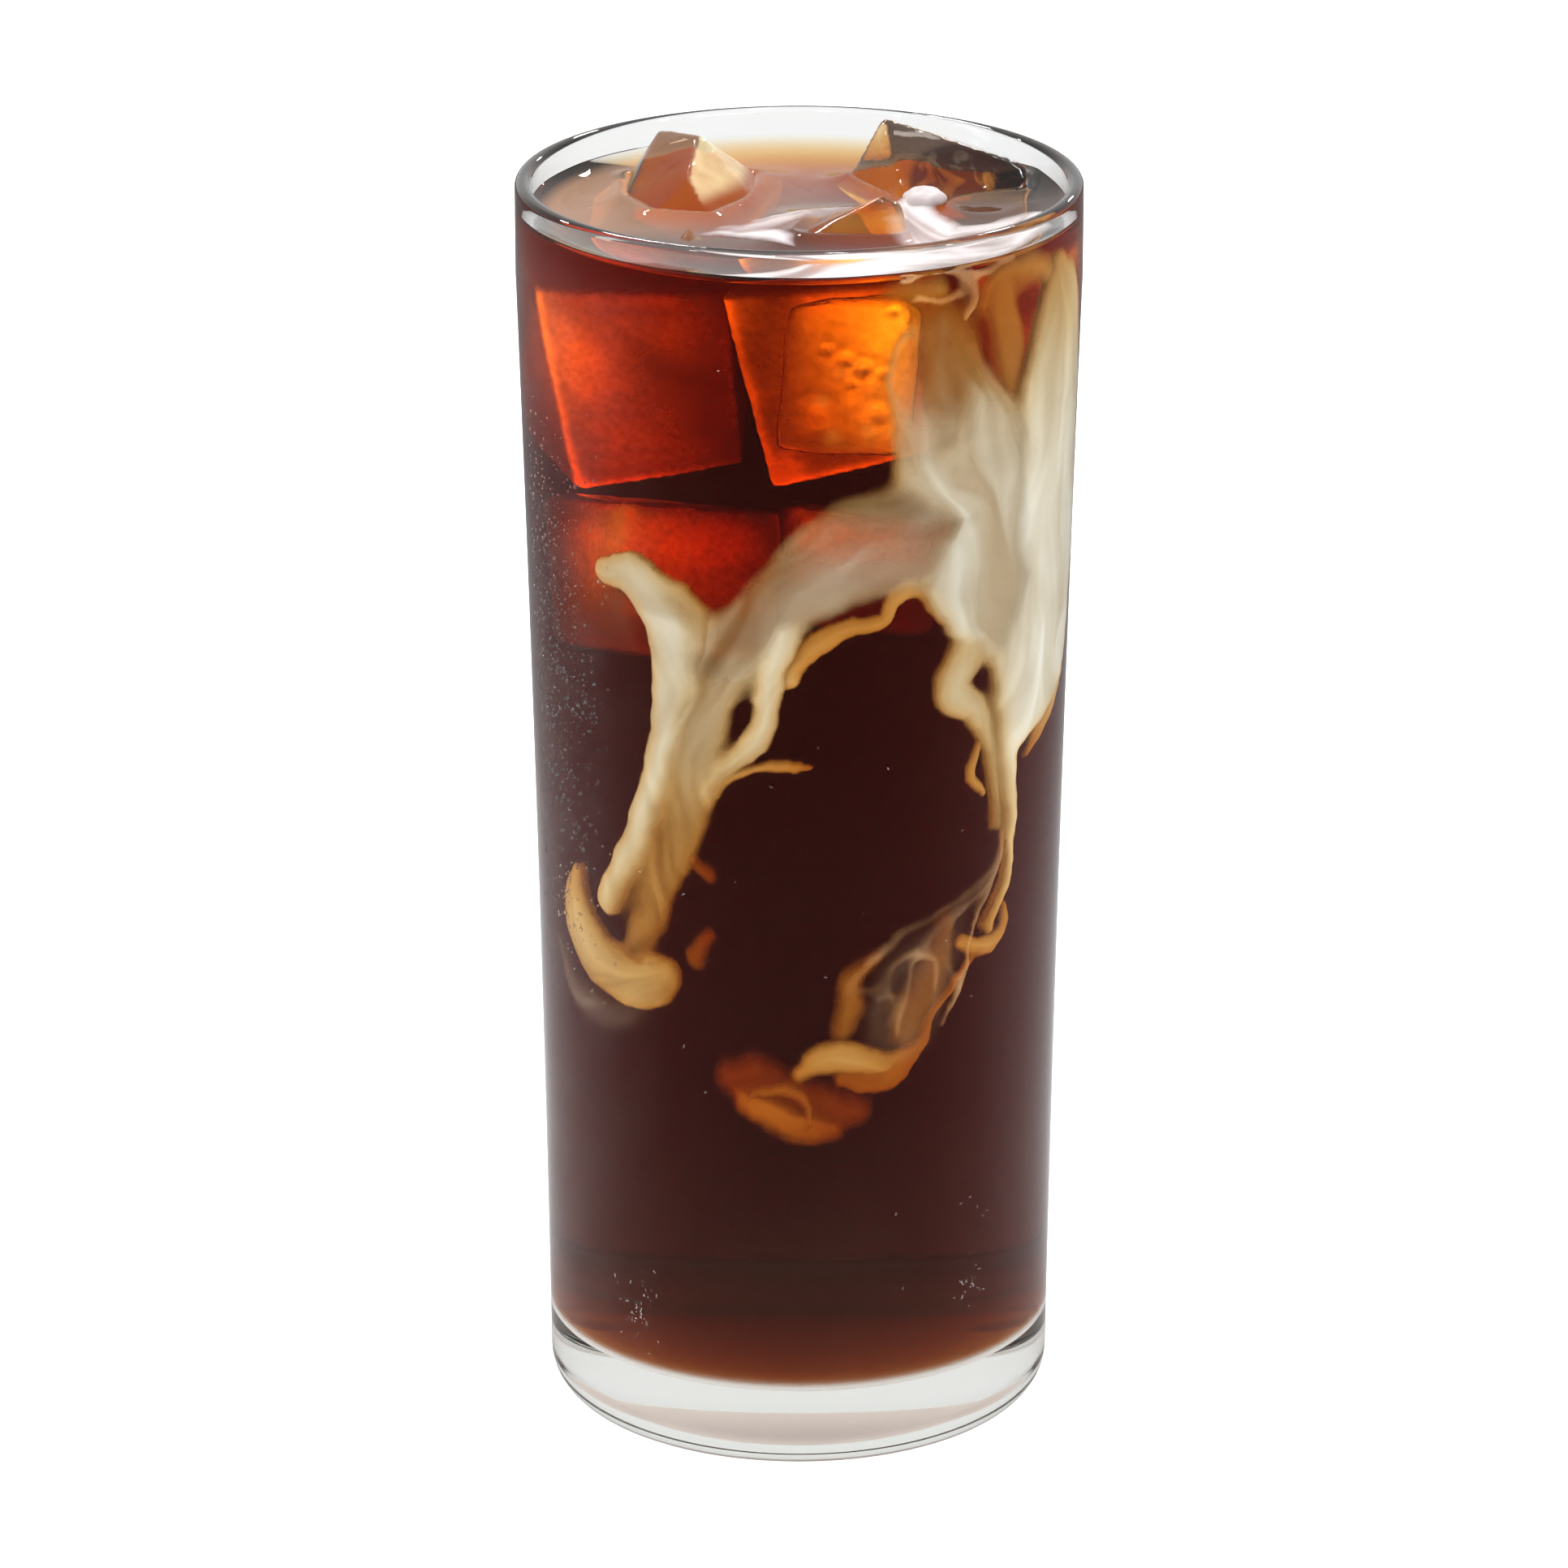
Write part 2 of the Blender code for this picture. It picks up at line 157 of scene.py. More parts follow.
# Round dimples melted into the front: (middle, radius, depth).
DIMPLES = {"ice_mid": [
    ((1.5, -12.2, 127.5), 1.5, .3), ((7.6, -12.2, 127.0), 1.3, .3), ((2.6, -12.2, 134.6), .8, .4),
    ((4.4, -12.2, 133.4), .9, .45), ((6.2, -12.2, 132.4), 1.0, .5), ((8.0, -12.2, 131.8), .8, .4),
    ((5.0, -12.2, 130.6), .7, .35), ((9.0, -12.2, 139.0), .8, .4)]}

# ---------------------------------------------------------------- looks
TURN_STEPS = 256
INTO_WALL = 0.12          # the coffee reaches so far into the glass, so no air gap shows
INTO_ICE = 0.10           # and so far into the ice
ICE_VOXEL = 0.4
ICE_MELT = 9
SUNK_VOXEL = 0.7
SUNK_MELT = 60
ICE_WAVES = 0.10          # height of the coarse and of the fine unevenness of the ice
ICE_GRAIN = 0.035
EDGE_SPREAD = 3           # rings of vertices over which an edge is felt
ICE_MENISCUS = 1.2        # climb of the coffee at the ice
ICE_REACH = 1.5
RIPPLES = 0.05            # height of the ripples on the coffee
FILM_THICK = 0.12         # of the milk afloat

GLASS_IOR = 1.5
WATER_IOR = 1.33
COFFEE_IOR = 1.34
ICE_IOR = 1.31
SUNK_IOR = 1.336          # near the coffee's, for the soft outlines that sunk ice has
ABSORB = (65.0, 185.0, 430.0)      # of the coffee, per metre: red, green, blue
GLASS_ABSORB = (3.0, 3.0, 3.5)     # of the glass, which only its thick foot shows
ICE_ABSORB = (12.0, 45.0, 95.0)    # of the ice, which has drawn in some coffee

DROP_PLACE = (14.6, 5.4)           # of the drop of milk that stands on the coffee
DROP_SIZE = (2.8, 2.4, 1.5)
MIST_TOP = 146.0          # of the breath of condensation on the left
BEADS = 1100
# Clusters of scratches: turn from the front in degrees, height, spread and number.
SCUFFS = [(-38.0, 19.0, 3.4, 60), (42.0, 20.6, 2.2, 40), (44.0, 30.0, 3.0, 8), (0.0, 70.0, 50.0, 50)]

MILK_STEP = 0.25          # spacing of the milk's mesh
MILK_BLEND = 0.7          # how softly strokes run into each other
GRID_MARGIN = 4.0         # room round the strokes
PATH_STEPS = 10           # between two points of a stroke
THINNEST = 0.2            # half width of a stroke
MILK_ROLL = 1.5           # how far an edge of the milk turns away from the wall
MILK_RELIEF = 0.15        # depth of its streaks

# Strokes of milk on the unrolled wall. Each is (density, softness of the edge, points), and a
# point is (along the wall, height, half width, depth behind the wall).
PLUME = {
    "trunk": (.09, 2.2, [(16.8, 137.6, 4.2, .9), (17.4, 133.0, 6.8, .7), (19.0, 126.5, 8.0, .5)]),
    "body": (.72, 1.4, [
        (19.4, 127.0, 8.2, .5), (21.6, 120.5, 10.4, .4), (23.6, 114.0, 11.0, .35),
        (26.6, 108.0, 10.2, .3)]),
    "lobe": (1.0, 1.6, [
        (39.0, 141.0, 3.4, 1.6), (39.8, 135.5, 7.0, 1.1), (38.4, 129.0, 9.2, .6),
        (37.4, 121.0, 10.4, .4), (36.6, 112.0, 11.4, .35), (35.2, 104.0, 10.8, .3),
        (34.8, 98.0, 9.8, .3)]),
    "leg": (1.0, 1.0, [
        (34.2, 99.0, 9.2, .3), (31.8, 94.0, 6.8, .3), (29.8, 90.2, 4.3, .35), (28.1, 86.6, 2.3, .4),
        (28.4, 82.4, 1.6, .5), (29.1, 78.3, 1.35, .6), (28.9, 73.3, 1.1, .8), (28.3, 69.4, 1.1, 1.1),
        (27.0, 66.6, 1.3, 1.6), (26.0, 64.6, 1.3, 2.0)]),
    "arm": (.17, 2.0, [
        (21.0, 116.4, 7.8, .35), (14.7, 115.6, 7.7, .4), (10.0, 114.4, 7.3, .4), (5.0, 113.2, 6.6, .4),
        (2.3, 111.8, 6.1, .45), (0.0, 109.8, 5.3, .5), (-3.0, 106.9, 4.7, .5), (-6.4, 103.8, 4.4, .5),
        (-9.6, 100.4, 4.4, .5)]),
    "antler": (.88, .8, [
        (-26.3, 108.8, 1.4, .8), (-24.9, 109.0, 2.1, .7), (-21.4, 109.1, 3.0, .5),
        (-18.2, 107.0, 3.6, .4), (-15.6, 103.6, 3.8, .35), (-14.8, 99.6, 3.5, .4),
        (-15.2, 95.2, 3.1, .4), (-16.2, 90.8, 2.6, .4), (-17.7, 85.8, 2.3, .45),
        (-19.0, 80.6, 2.2, .5), (-21.2, 76.0, 2.2, .6), (-23.4, 72.0, 2.1, .7), (-25.6, 67.8, 2.0, .9)]),
    "antler bump": (.7, 1.2, [
        (-14.2, 107.2, 1.8, 1.0), (-12.6, 105.2, 2.2, .9), (-11.6, 102.4, 2.4, .7)]),
    "middle": (.34, 1.2, [
        (-8.0, 101.0, 3.9, .5), (-9.6, 97.0, 3.0, .7), (-11.4, 92.6, 3.3, .7), (-12.6, 88.2, 3.4, .9),
        (-13.6, 84.0, 3.2, 1.3), (-14.6, 79.9, 3.1, 1.7), (-15.9, 76.1, 3.0, 1.9),
        (-17.5, 72.9, 2.9, 2.0), (-18.8, 69.6, 2.9, 2.1), (-20.4, 66.3, 2.7, 2.3),
        (-21.9, 63.6, 2.2, 2.4)]),
    "loop": (.8, .9, [
        (-1.9, 104.0, 2.5, .5), (-2.8, 100.6, 2.1, .5), (-3.7, 96.8, 1.8, .5), (-4.4, 92.6, 1.8, .6),
        (-6.6, 89.4, 1.7, .7), (-9.4, 87.0, 1.7, .9), (-11.6, 84.2, 1.7, 1.2)]),
    "cap": (.85, .9, [
        (-32.4, 69.0, 1.7, 1.9), (-32.8, 66.4, 2.8, 1.6), (-31.6, 63.6, 3.6, 1.4),
        (-29.5, 61.2, 3.8, 1.4), (-26.6, 59.4, 3.7, 1.5), (-23.0, 58.5, 3.5, 1.6),
        (-19.6, 59.2, 3.5, 1.7), (-17.6, 60.1, 2.8, 2.0)]),
    "fin": (.6, 1.1, [
        (24.2, 102.4, 1.4, 1.1), (21.0, 98.6, 2.6, .9), (19.4, 95.4, 2.9, .8), (22.6, 92.4, 2.0, .8),
        (24.6, 87.6, 1.2, .8), (25.9, 82.0, .9, .9), (26.6, 77.0, .9, 1.1)]),
    "strand": (.6, .5, [
        (13.8, 139.2, .8, .9), (12.2, 138.0, .7, .8), (10.9, 134.0, .6, .7), (11.2, 130.2, .6, .6),
        (12.3, 127.0, .6, .6), (13.4, 124.4, .7, .5)]),
}
# Milk that hangs deeper in the coffee, which browns it.
DEEP = {
    "golden dome": (.75, 3.0, [
        (24.3, 140.6, 2.0, 3.2), (26.4, 143.0, 2.2, 3.0), (30.5, 143.6, 2.6, 2.6),
        (35.0, 142.6, 2.8, 2.2), (38.4, 139.0, 3.0, 1.8)]),
    "amber lobe": (.7, 2.4, [(11.6, 143.6, 1.6, 4.2), (14.6, 143.2, 2.4, 3.6), (17.4, 143.2, 2.5, 2.8)]),
    "notch": (.7, 2.2, [(28.0, 141.0, 3.4, 3.2), (29.4, 134.0, 3.6, 2.8), (29.8, 128.0, 2.8, 2.4)]),
    "trunk behind": (.38, 2.6, [
        (16.0, 141.4, 2.4, 4.0), (19.0, 138.0, 5.0, 3.2), (20.0, 131.0, 6.0, 2.6)]),
    "arm edge": (1.0, .7, [
        (22.0, 104.6, 1.6, 1.6), (19.2, 104.0, 1.3, 2.0), (17.2, 106.0, 1.2, 2.0),
        (14.6, 108.4, 1.4, 1.8), (11.8, 107.6, 1.4, 1.8), (10.2, 105.2, 1.3, 2.0),
        (8.2, 104.9, 1.4, 2.2), (5.0, 104.1, 1.5, 2.2), (2.3, 102.6, 1.7, 2.2), (.2, 100.7, 1.4, 2.0),
        (-1.4, 99.0, 1.0, 1.6)]),
    "knot": (1.0, .7, [(-2.9, 98.0, 1.0, 1.4), (-.7, 98.8, 1.3, 1.4)]),
    "thread": (.95, .7, [
        (-10.2, 83.6, .9, 1.2), (-8.6, 85.7, .9, 1.4), (-6.6, 87.0, .9, 1.6), (-4.0, 87.6, .9, 1.9),
        (-1.2, 87.7, .9, 2.4), (1.0, 87.4, .7, 3.2)]),
    "hook": (1.0, .7, [
        (29.2, 66.0, .8, 2.2), (28.8, 63.4, 1.2, 1.9), (26.8, 62.2, 1.5, 1.8), (24.6, 62.4, 1.5, 1.8),
        (21.9, 63.5, 1.1, 2.2)]),
    "leg behind": (.8, .8, [(24.2, 88.0, .9, 1.6), (22.8, 84.6, 1.2, 1.8), (24.6, 81.6, 1.0, 1.7)]),
    "puff fold": (.6, 1.4, [
        (-7.0, 44.8, .7, 4.4), (-5.4, 46.8, 1.0, 3.9), (-2.2, 47.0, 1.1, 3.7), (.6, 45.4, 1.1, 3.8),
        (1.4, 42.8, .9, 4.1), (-.6, 41.4, .6, 4.6)]),
    "fringe": (.8, .8, [
        (23.6, 60.2, .8, 3.4), (21.2, 57.6, .9, 3.6), (18.2, 54.6, 1.0, 3.8), (16.6, 51.6, 1.2, 4.0),
        (13.8, 48.6, 1.8, 4.4), (10.0, 47.3, 1.7, 4.6), (5.6, 47.9, 1.2, 5.0)]),
    "low cap": (.85, 1.3, [
        (-.4, 49.2, 1.2, 2.6), (2.2, 51.0, 2.2, 2.1), (5.6, 51.2, 2.6, 2.0), (8.6, 50.6, 2.4, 2.1),
        (11.6, 50.2, 1.8, 2.5), (14.6, 51.0, 1.0, 3.2)]),
    "side puff": (1.0, .7, [
        (42.8, 91.6, 1.4, 1.2), (39.6, 89.6, 2.1, 1.4), (36.6, 86.6, 1.9, 1.7), (34.2, 84.0, 1.0, 2.4)]),
    "side smudge": (.6, 1.4, [(-15.0, 74.6, 1.4, 4.4), (-12.6, 73.0, 1.6, 5.2)]),
    "cap smudge": (.6, 1.4, [(-14.4, 62.6, 1.9, 4.8), (-13.0, 65.0, 1.4, 6.0)]),
}
# Loose puffs lower down.
PUFFS = {
    "veil core": (.26, 3.2, [
        (20.0, 66.0, 2.4, 3.6), (18.0, 61.4, 3.4, 3.2), (16.0, 57.0, 3.8, 3.2), (13.8, 53.6, 3.0, 3.4)]),
    "veil rim": (.42, 2.2, [
        (10.4, 63.2, 1.4, 4.0), (6.8, 61.0, 2.2, 3.4), (6.6, 57.4, 2.4, 3.2), (5.6, 54.2, 2.0, 3.4)]),
    "low puff": (1.0, 2.3, [
        (-8.4, 46.2, 2.2, 5.2), (-6.4, 45.4, 3.2, 4.6), (-2.8, 44.6, 3.9, 4.4), (1.0, 43.2, 3.8, 4.7),
        (4.2, 42.2, 2.7, 5.2)]),
    "halo": (.6, 3.4, [
        (-10.4, 47.4, 3.2, 7.4), (-6.0, 47.6, 3.6, 7.2), (2.0, 44.6, 4.0, 7.2), (8.4, 43.6, 3.2, 7.4)]),
}
# The thinnest milk, like smoke close behind the wall.
SMOKE = {
    "veil": (.035, 4.0, [
        (26.6, 79.0, 1.0, .3), (25.4, 75.4, 1.8, .3), (22.4, 71.4, 3.2, .3), (18.6, 67.4, 4.6, .3),
        (15.4, 63.4, 5.8, .4), (13.2, 59.0, 6.4, .5), (12.2, 55.2, 6.0, .7)]),
    "shadow": (.07, 2.6, [
        (-35.4, 60.0, 1.8, .2), (-32.5, 56.4, 2.6, .2), (-28.6, 54.2, 3.2, .2), (-24.0, 54.0, 3.0, .2),
        (-19.6, 56.2, 2.0, .3)]),
}
# Fine threads in the smoke and near the surface.
THREADS = {
    "left edge": (.30, .9, [
        (27.0, 76.0, .4, .2), (25.6, 71.6, .5, .2), (20.4, 69.9, .6, .2), (16.1, 68.3, .7, .2),
        (12.0, 66.4, .8, .3), (8.2, 63.4, .8, .4), (6.2, 60.6, .7, .6)]),
    "right edge": (.34, .7, [
        (27.2, 76.4, .4, .2), (25.2, 70.6, .5, .2), (23.0, 67.0, .5, .2), (21.4, 63.6, .5, .2),
        (21.4, 60.4, .5, .2), (19.9, 58.0, .6, .3), (17.6, 54.2, .6, .5)]),
    "middle thread": (.26, .7, [
        (24.7, 70.6, .4, .2), (21.9, 69.2, .5, .2), (19.3, 67.6, .5, .2), (18.4, 65.2, .5, .2),
        (18.8, 62.0, .5, .3), (20.2, 59.4, .4, .3)]),
    "second thread": (.22, .8, [
        (23.0, 70.4, .4, .3), (17.4, 67.0, .6, .3), (14.0, 63.0, .6, .4), (12.6, 58.4, .6, .6),
        (12.0, 54.0, .6, .8)]),
    "arch": (.24, .8, [
        (9.6, 58.4, .5, .4), (10.6, 61.9, .6, .3), (12.6, 63.8, .6, .3), (15.0, 64.1, .6, .3),
        (17.0, 62.2, .5, .4), (16.8, 58.6, .5, .5)]),
    "ring": (.34, .7, [
        (6.2, 59.2, .5, .6), (8.2, 59.9, .6, .5), (10.2, 59.2, .6, .5), (11.0, 57.2, .5, .6),
        (10.6, 55.4, .4, .7)]),
    "wisp": (.5, .6, [
        (12.0, 145.4, .5, .4), (17.0, 145.6, .5, .4), (20.5, 144.6, .6, .5), (21.8, 142.2, .7, .6),
        (20.3, 140.0, .6, .8)]),
    "wisp below": (.4, .6, [(14.0, 143.0, .6, .8), (17.0, 142.2, .6, .8), (19.8, 142.6, .6, .8)]),
    "wisp right": (.4, .7, [(20.6, 144.4, .6, .5), (24.0, 145.0, .6, .4), (28.0, 145.8, .5, .4)]),
}
# Milk afloat on the coffee: the same, on the surface, as (x, y, half width).
FILM = {
    "left streak": (.75, 2.0, [
        (-11.4, -5.2, .6), (-7.5, -5.4, 1.7), (-4.5, -6.4, 2.3), (-2.0, -8.4, 1.9), (-.7, -10.6, .9)]),
    "middle streak": (.6, 2.0, [(-8.5, -3.4, .8), (-4.5, -2.6, 1.7), (0.0, -1.2, 2.0), (4.0, .6, 1.7)]),
    "back streak": (.6, 1.2, [(-5.5, -.8, .6), (-1.0, .9, 1.0), (4.0, 2.3, 1.0), (7.4, 3.2, .8)]),
    "pool": (.92, 2.2, [
        (12.6, 3.0, 3.2), (14.0, -3.5, 4.8), (15.6, -9.6, 5.2), (19.6, -7.6, 5.2), (23.6, -5.0, 4.2),
        (27.2, -1.4, 2.6)]),
    "front band": (.95, 1.8, [
        (-11.5, -24.5, 1.2), (-5.0, -24.2, 2.7), (2.0, -23.0, 4.2), (9.0, -21.8, 4.8),
        (16.0, -18.2, 4.8), (21.5, -13.6, 4.0), (26.4, -7.6, 2.4)]),
}


# ---------------------------------------------------------------- the side of the tumbler
def outside(z):
    """The glass's outer radius at a height."""
    t = np.clip(np.asarray(z, float) / SHOULDER_Z, 0.0, 1.0)
    curve = RIM_RADIUS - FOOT_RADIUS - TAPER_EVEN
    return FOOT_RADIUS + TAPER_EVEN * t + curve * t * t


def inside(z):
    """Its inner radius."""
    t = np.clip((HEIGHT - np.asarray(z, float)) / (HEIGHT - FLOOR_Z), 0.0, 1.0)
    return outside(z) - LIP_WALL - (LOW_WALL - LIP_WALL) * t


def arc(centre, radius, start, end, steps):
    """Points of an arc; the angles are in degrees."""
    turn = [radians(start + (end - start) * i / steps) for i in range(steps + 1)]
    return [(centre[0] + radius * cos(a), centre[1] + radius * sin(a)) for a in turn]


# ---------------------------------------------------------------- meshes
def add_object(name, data):
    """Puts a mesh, light or camera into the scene."""
    made = bpy.data.objects.new(name, data)
    bpy.context.scene.collection.objects.link(made)
    return made


def object_of(shape, name):
    """Turns a bmesh into an object."""
    mesh = bpy.data.meshes.new(name)
    shape.to_mesh(mesh)
    shape.free()
    return add_object(name, mesh)


def frozen(thing):
    """An object's mesh with its modifiers applied."""
    bpy.context.view_layer.update()
    graph = bpy.context.evaluated_depsgraph_get()
    return bpy.data.meshes.new_from_object(thing.evaluated_get(graph), depsgraph=graph)


def freeze(thing):
    """Applies an object's modifiers to its mesh."""
    mesh = frozen(thing)
    thing.modifiers.clear()
    thing.data = mesh


def turned(name, profile):
    """A profile (radius, height) in mm, both ends on the axis, turned about Z."""
    steps = TURN_STEPS
    rows = np.array(profile[1:-1])
    turn = np.linspace(0, 2 * pi, steps, endpoint=False)
    points = np.stack([np.outer(rows[:, 0], np.sin(turn)), -np.outer(rows[:, 0], np.cos(turn)),
                       np.repeat(rows[:, 1:2], steps, axis=1)], axis=-1).reshape(-1, 3)
    poles = np.array([(0, 0, profile[0][1]), (0, 0, profile[-1][1])])
    first, last = len(points), len(points) + 1
    faces = []
    for i in range(len(rows) - 1):
        for j in range(steps):
            k = (j + 1) % steps
            faces.append((i * steps + j, (i + 1) * steps + j, (i + 1) * steps + k, i * steps + k))
    end = (len(rows) - 1) * steps
    for j in range(steps):
        k = (j + 1) % steps
        faces.append((first, j, k))
        faces.append((last, end + k, end + j))
    mesh = bpy.data.meshes.new(name)
    mesh.from_pydata(np.vstack([points, poles]) * MM, [], faces)
    mesh.shade_smooth()
    return add_object(name, mesh)


def inflate(mesh, distance):
    """Moves a mesh outwards along its normals."""
    count = len(mesh.vertices)
    place = np.zeros(count * 3, np.float32)
    normal = np.zeros(count * 3, np.float32)
    mesh.vertices.foreach_get("co", place)
    mesh.vertex_normals.foreach_get("vector", normal)
    mesh.vertices.foreach_set("co", place + normal * distance * MM)
    mesh.update()


def tree_of(thing):
    """For finding the nearest point or the first hit."""
    shape = bmesh.new()
    shape.from_mesh(frozen(thing))
    tree = BVHTree.FromBMesh(shape)
    shape.free()
    return tree


# ---------------------------------------------------------------- glass
def make_glass():
    """The tumbler, from the middle of its floor over the lip to the hollow under its foot."""
    lip_radius = LIP_WALL / 2
    wall_z = np.linspace(FLOOR_Z + FLOOR_CORNER, SHOULDER_Z, 24)
    floor = arc((inside(wall_z[0]) - FLOOR_CORNER, FLOOR_Z + FLOOR_CORNER), FLOOR_CORNER, -90, 0, 10)
    lip = arc((RIM_RADIUS - lip_radius, HEIGHT - lip_radius), lip_radius, 180, 0, 18)
    outer_z = np.linspace(SHOULDER_Z, FOOT_CORNER, 24)
    foot = arc((outside(FOOT_CORNER) - FOOT_CORNER, FOOT_CORNER), FOOT_CORNER, 0, -90, 14)
    hollow = [(FLAT_RING - 1.5 * t, FOOT_HOLLOW * (.75 * t * t * (3 - 2 * t))) for t in (0, .25, .5, .75, 1)]
    hollow += [(20.5 * (1 - t), FOOT_HOLLOW * (.75 + .25 * (1 - (1 - t) ** 2))) for t in (.2, .4, .6, .8)]
    flat_floor = [(r, FLOOR_Z) for r in (8.0, 16.0, 22.0)]
    wall = [(inside(z), z) for z in wall_z[1:]]
    wall += [(inside(z), z) for z in np.linspace(SHOULDER_Z + .5, WET_TOP + 1, 12)]
    profile = [(0.0, FLOOR_Z)] + flat_floor + floor + wall + lip
    profile += [(outside(z), z) for z in outer_z] + foot[1:] + hollow + [(0.0, FOOT_HOLLOW)]
    tumbler = turned("tumbler", profile)
    mark_dry(tumbler, glass_is_dry)
    return tumbler


def store(mesh, name, values):
    """Gives a mesh one number per vertex, in place of any that a cutter passed on to it."""
    if name in mesh.attributes:
        mesh.attributes.remove(mesh.attributes[name])
    data = mesh.attributes.new(name, "FLOAT", "POINT")
    data.data.foreach_set("value", np.array(values, np.float32))


def mark_dry(thing, dry):
    """Stores where a mesh meets air. Its other faces meet a liquid and hardly mirror anything."""
    store(thing.data, "dry", [dry(v.co / MM, v.normal) for v in thing.data.vertices])


def glass_is_dry(p, normal):
    """The drink touches the wall's inside, up to where it climbs."""
    radius = (p.x ** 2 + p.y ** 2) ** .5
    middle = outside(p.z) - 1.0
    return not (FLOOR_Z - 1 < p.z < WET_TOP and radius < middle)


def above_drink(p, normal):
    """Ice meets air above the drink."""
    return p.z > LEVEL - .3


def coffee_is_dry(p, normal):
    """The coffee's surface, which mirrors less in front, where the rim shades it."""
    radius, wall = (p.x ** 2 + p.y ** 2) ** .5, inside(LEVEL)
    if not above_drink(p, normal) or normal.z < .3 or radius > wall - .02:
        return 0.0
    return 1.0 - .6 * smoothstep((-p.y - 2.0) / 9.0)


# ---------------------------------------------------------------- ice
def hull(name, corners):
    """The convex body round some corners."""
    shape = bmesh.new()
    points = [shape.verts.new(Vector(c) * MM) for c in corners]
    made = bmesh.ops.convex_hull(shape, input=points)
    spare = [e for e in set(made["geom_interior"] + made["geom_unused"]) if isinstance(e, bmesh.types.BMVert)]
    bmesh.ops.delete(shape, geom=spare, context="VERTS")
    bmesh.ops.recalc_face_normals(shape, faces=shape.faces)
    return object_of(shape, name)


def ball(centre, radius):
    """A ball, to cut with or to shape."""
    shape = bmesh.new()
    bmesh.ops.create_uvsphere(shape, u_segments=40, v_segments=20, radius=radius * MM)
    made = object_of(shape, "ball")
    made.location = Vector(centre) * MM
    return made


def cut(thing, cutter):
    """Takes the cutter out of an object, and removes the cutter."""
    boolean = thing.modifiers.new("cut", "BOOLEAN")
    boolean.operation = "DIFFERENCE"
    boolean.solver = "MANIFOLD"
    boolean.object = cutter
    freeze(thing)
    bpy.data.objects.remove(cutter, do_unlink=True)


def melt(thing, voxel, passes):
    """Rounds a mesh off."""
    grid = thing.modifiers.new("grid", "REMESH")
    grid.mode = "VOXEL"
    grid.voxel_size = voxel * MM
    soft = thing.modifiers.new("soft", "SMOOTH")
    soft.factor = 0.5
    soft.iterations = passes
    freeze(thing)


def crinkle(mesh, dimples):
    """Fine unevenness of melting ice, with round dimples (place, radius, depth)."""
    moves = []
    for vert in mesh.vertices:
        p = vert.co / MM
        wet = 0.3 if p.z > LEVEL else 1.0
        push = ICE_WAVES * fractal(p * 0.22, 1.0, 2.0, 3)
        push += ICE_GRAIN * wet * fractal(p * 1.3 + Vector((3, 7, 1)), 1.0, 2.0, 2)
        for place, radius, depth in dimples:
            off = (p - Vector(place)).length / radius
            if off < 2.5:
                push -= depth * exp(-off * off * 2) - 0.35 * depth * exp(-((off - 1.3) / .35) ** 2)
        moves.append(vert.co + vert.normal * push * MM)
    mesh.vertices.foreach_set("co", np.array([tuple(m) for m in moves], np.float32).ravel())
    mesh.update()


def mark_edges(thing):
    """Stores how sharply a mesh bulges, from 0 on its flats to 1 along its melted edges."""
    mesh = thing.data
    shape = bmesh.new()
    shape.from_mesh(mesh)
    shape.verts.ensure_lookup_table()
    normals = np.array([v.normal for v in shape.verts])
    links = [[e.other_vert(v).index for e in v.link_edges] for v in shape.verts]
    shape.free()
    spread = normals
    for _ in range(EDGE_SPREAD):
        spread = np.array([spread[near].mean(0) for near in links])
    sharp = 1 - np.linalg.norm(spread, axis=1)
    store(mesh, "edge", np.clip(sharp * 12 - .15, 0, 1))


def mark_glow(thing, even, lines):
    """Stores how brightly a cube's upright sunk faces glow."""
    glow = []
    for vert in thing.data.vertices:
        p, normal = vert.co / MM, vert.normal
        amount = even
        for start, end, reach, extra in lines:
            start, run = Vector(start), Vector(end) - Vector(start)
            length = run.length_squared
            t = min(max((p - start).dot(run) / length, 0.0), 1.0) if length else 0.0
            amount += extra * exp(-((p - start - run * t).length / reach) ** 2)
        upright = smoothstep((.8 - abs(normal.z)) / .5)
        sunk = smoothstep((LEVEL - 1.0 - p.z) / 2.5)
        forward = .2 + .8 * smoothstep(.5 - .8 * normal.y)
        glow.append(amount * upright * sunk * forward)
    store(thing.data, "glow", np.clip(glow, 0, 1))


def mark_facets(thing, haze_and_painted_light, painted_dark_hollows):
    """Stores which facets above the drink are cloudy and painted pale, and which are painted dark, a painted
    reflection of the dark drink.
    """
    pale, dark = [], []
    for vert in thing.data.vertices:
        p, normal = vert.co / MM, vert.normal
        above = smoothstep((p.z - LEVEL - 1.2) / 1.4)
        facing = [smoothstep((normal.dot(Vector(way).normalized()) - .86) / .08) for way in haze_and_painted_light]
        hollowed = [smoothstep((1.4 - abs((p - Vector(centre)).length - radius)) / .8)
                    for centre, radius in painted_dark_hollows]
        pale.append(above * max(facing + [0.0]))
        dark.append(smoothstep((p.z - LEVEL) / .8) * max(hollowed + [0.0]))
    store(thing.data, "pale", pale)
    store(thing.data, "dark", dark)


def weather(cube, name, voxel, passes, dimples):
    """Melts a rough cube round, and stores what its material needs."""
    melt(cube, voxel, passes)
    crinkle(cube.data, dimples)
    cube.data.shade_smooth()
    mark_edges(cube)
    mark_glow(cube, *GLOW[name])
    mark_dry(cube, above_drink)


def make_ice(name, corners, hollows):
    """A cube that breaks the surface."""
    cube = hull(name, corners)
    for centre, radius in hollows:
        cut(cube, ball(centre, radius))
    weather(cube, name, ICE_VOXEL, ICE_MELT, DIMPLES.get(name, []))
    mark_facets(cube, *FACETS[name])
    cube.name = name + "_clear"
    return cube


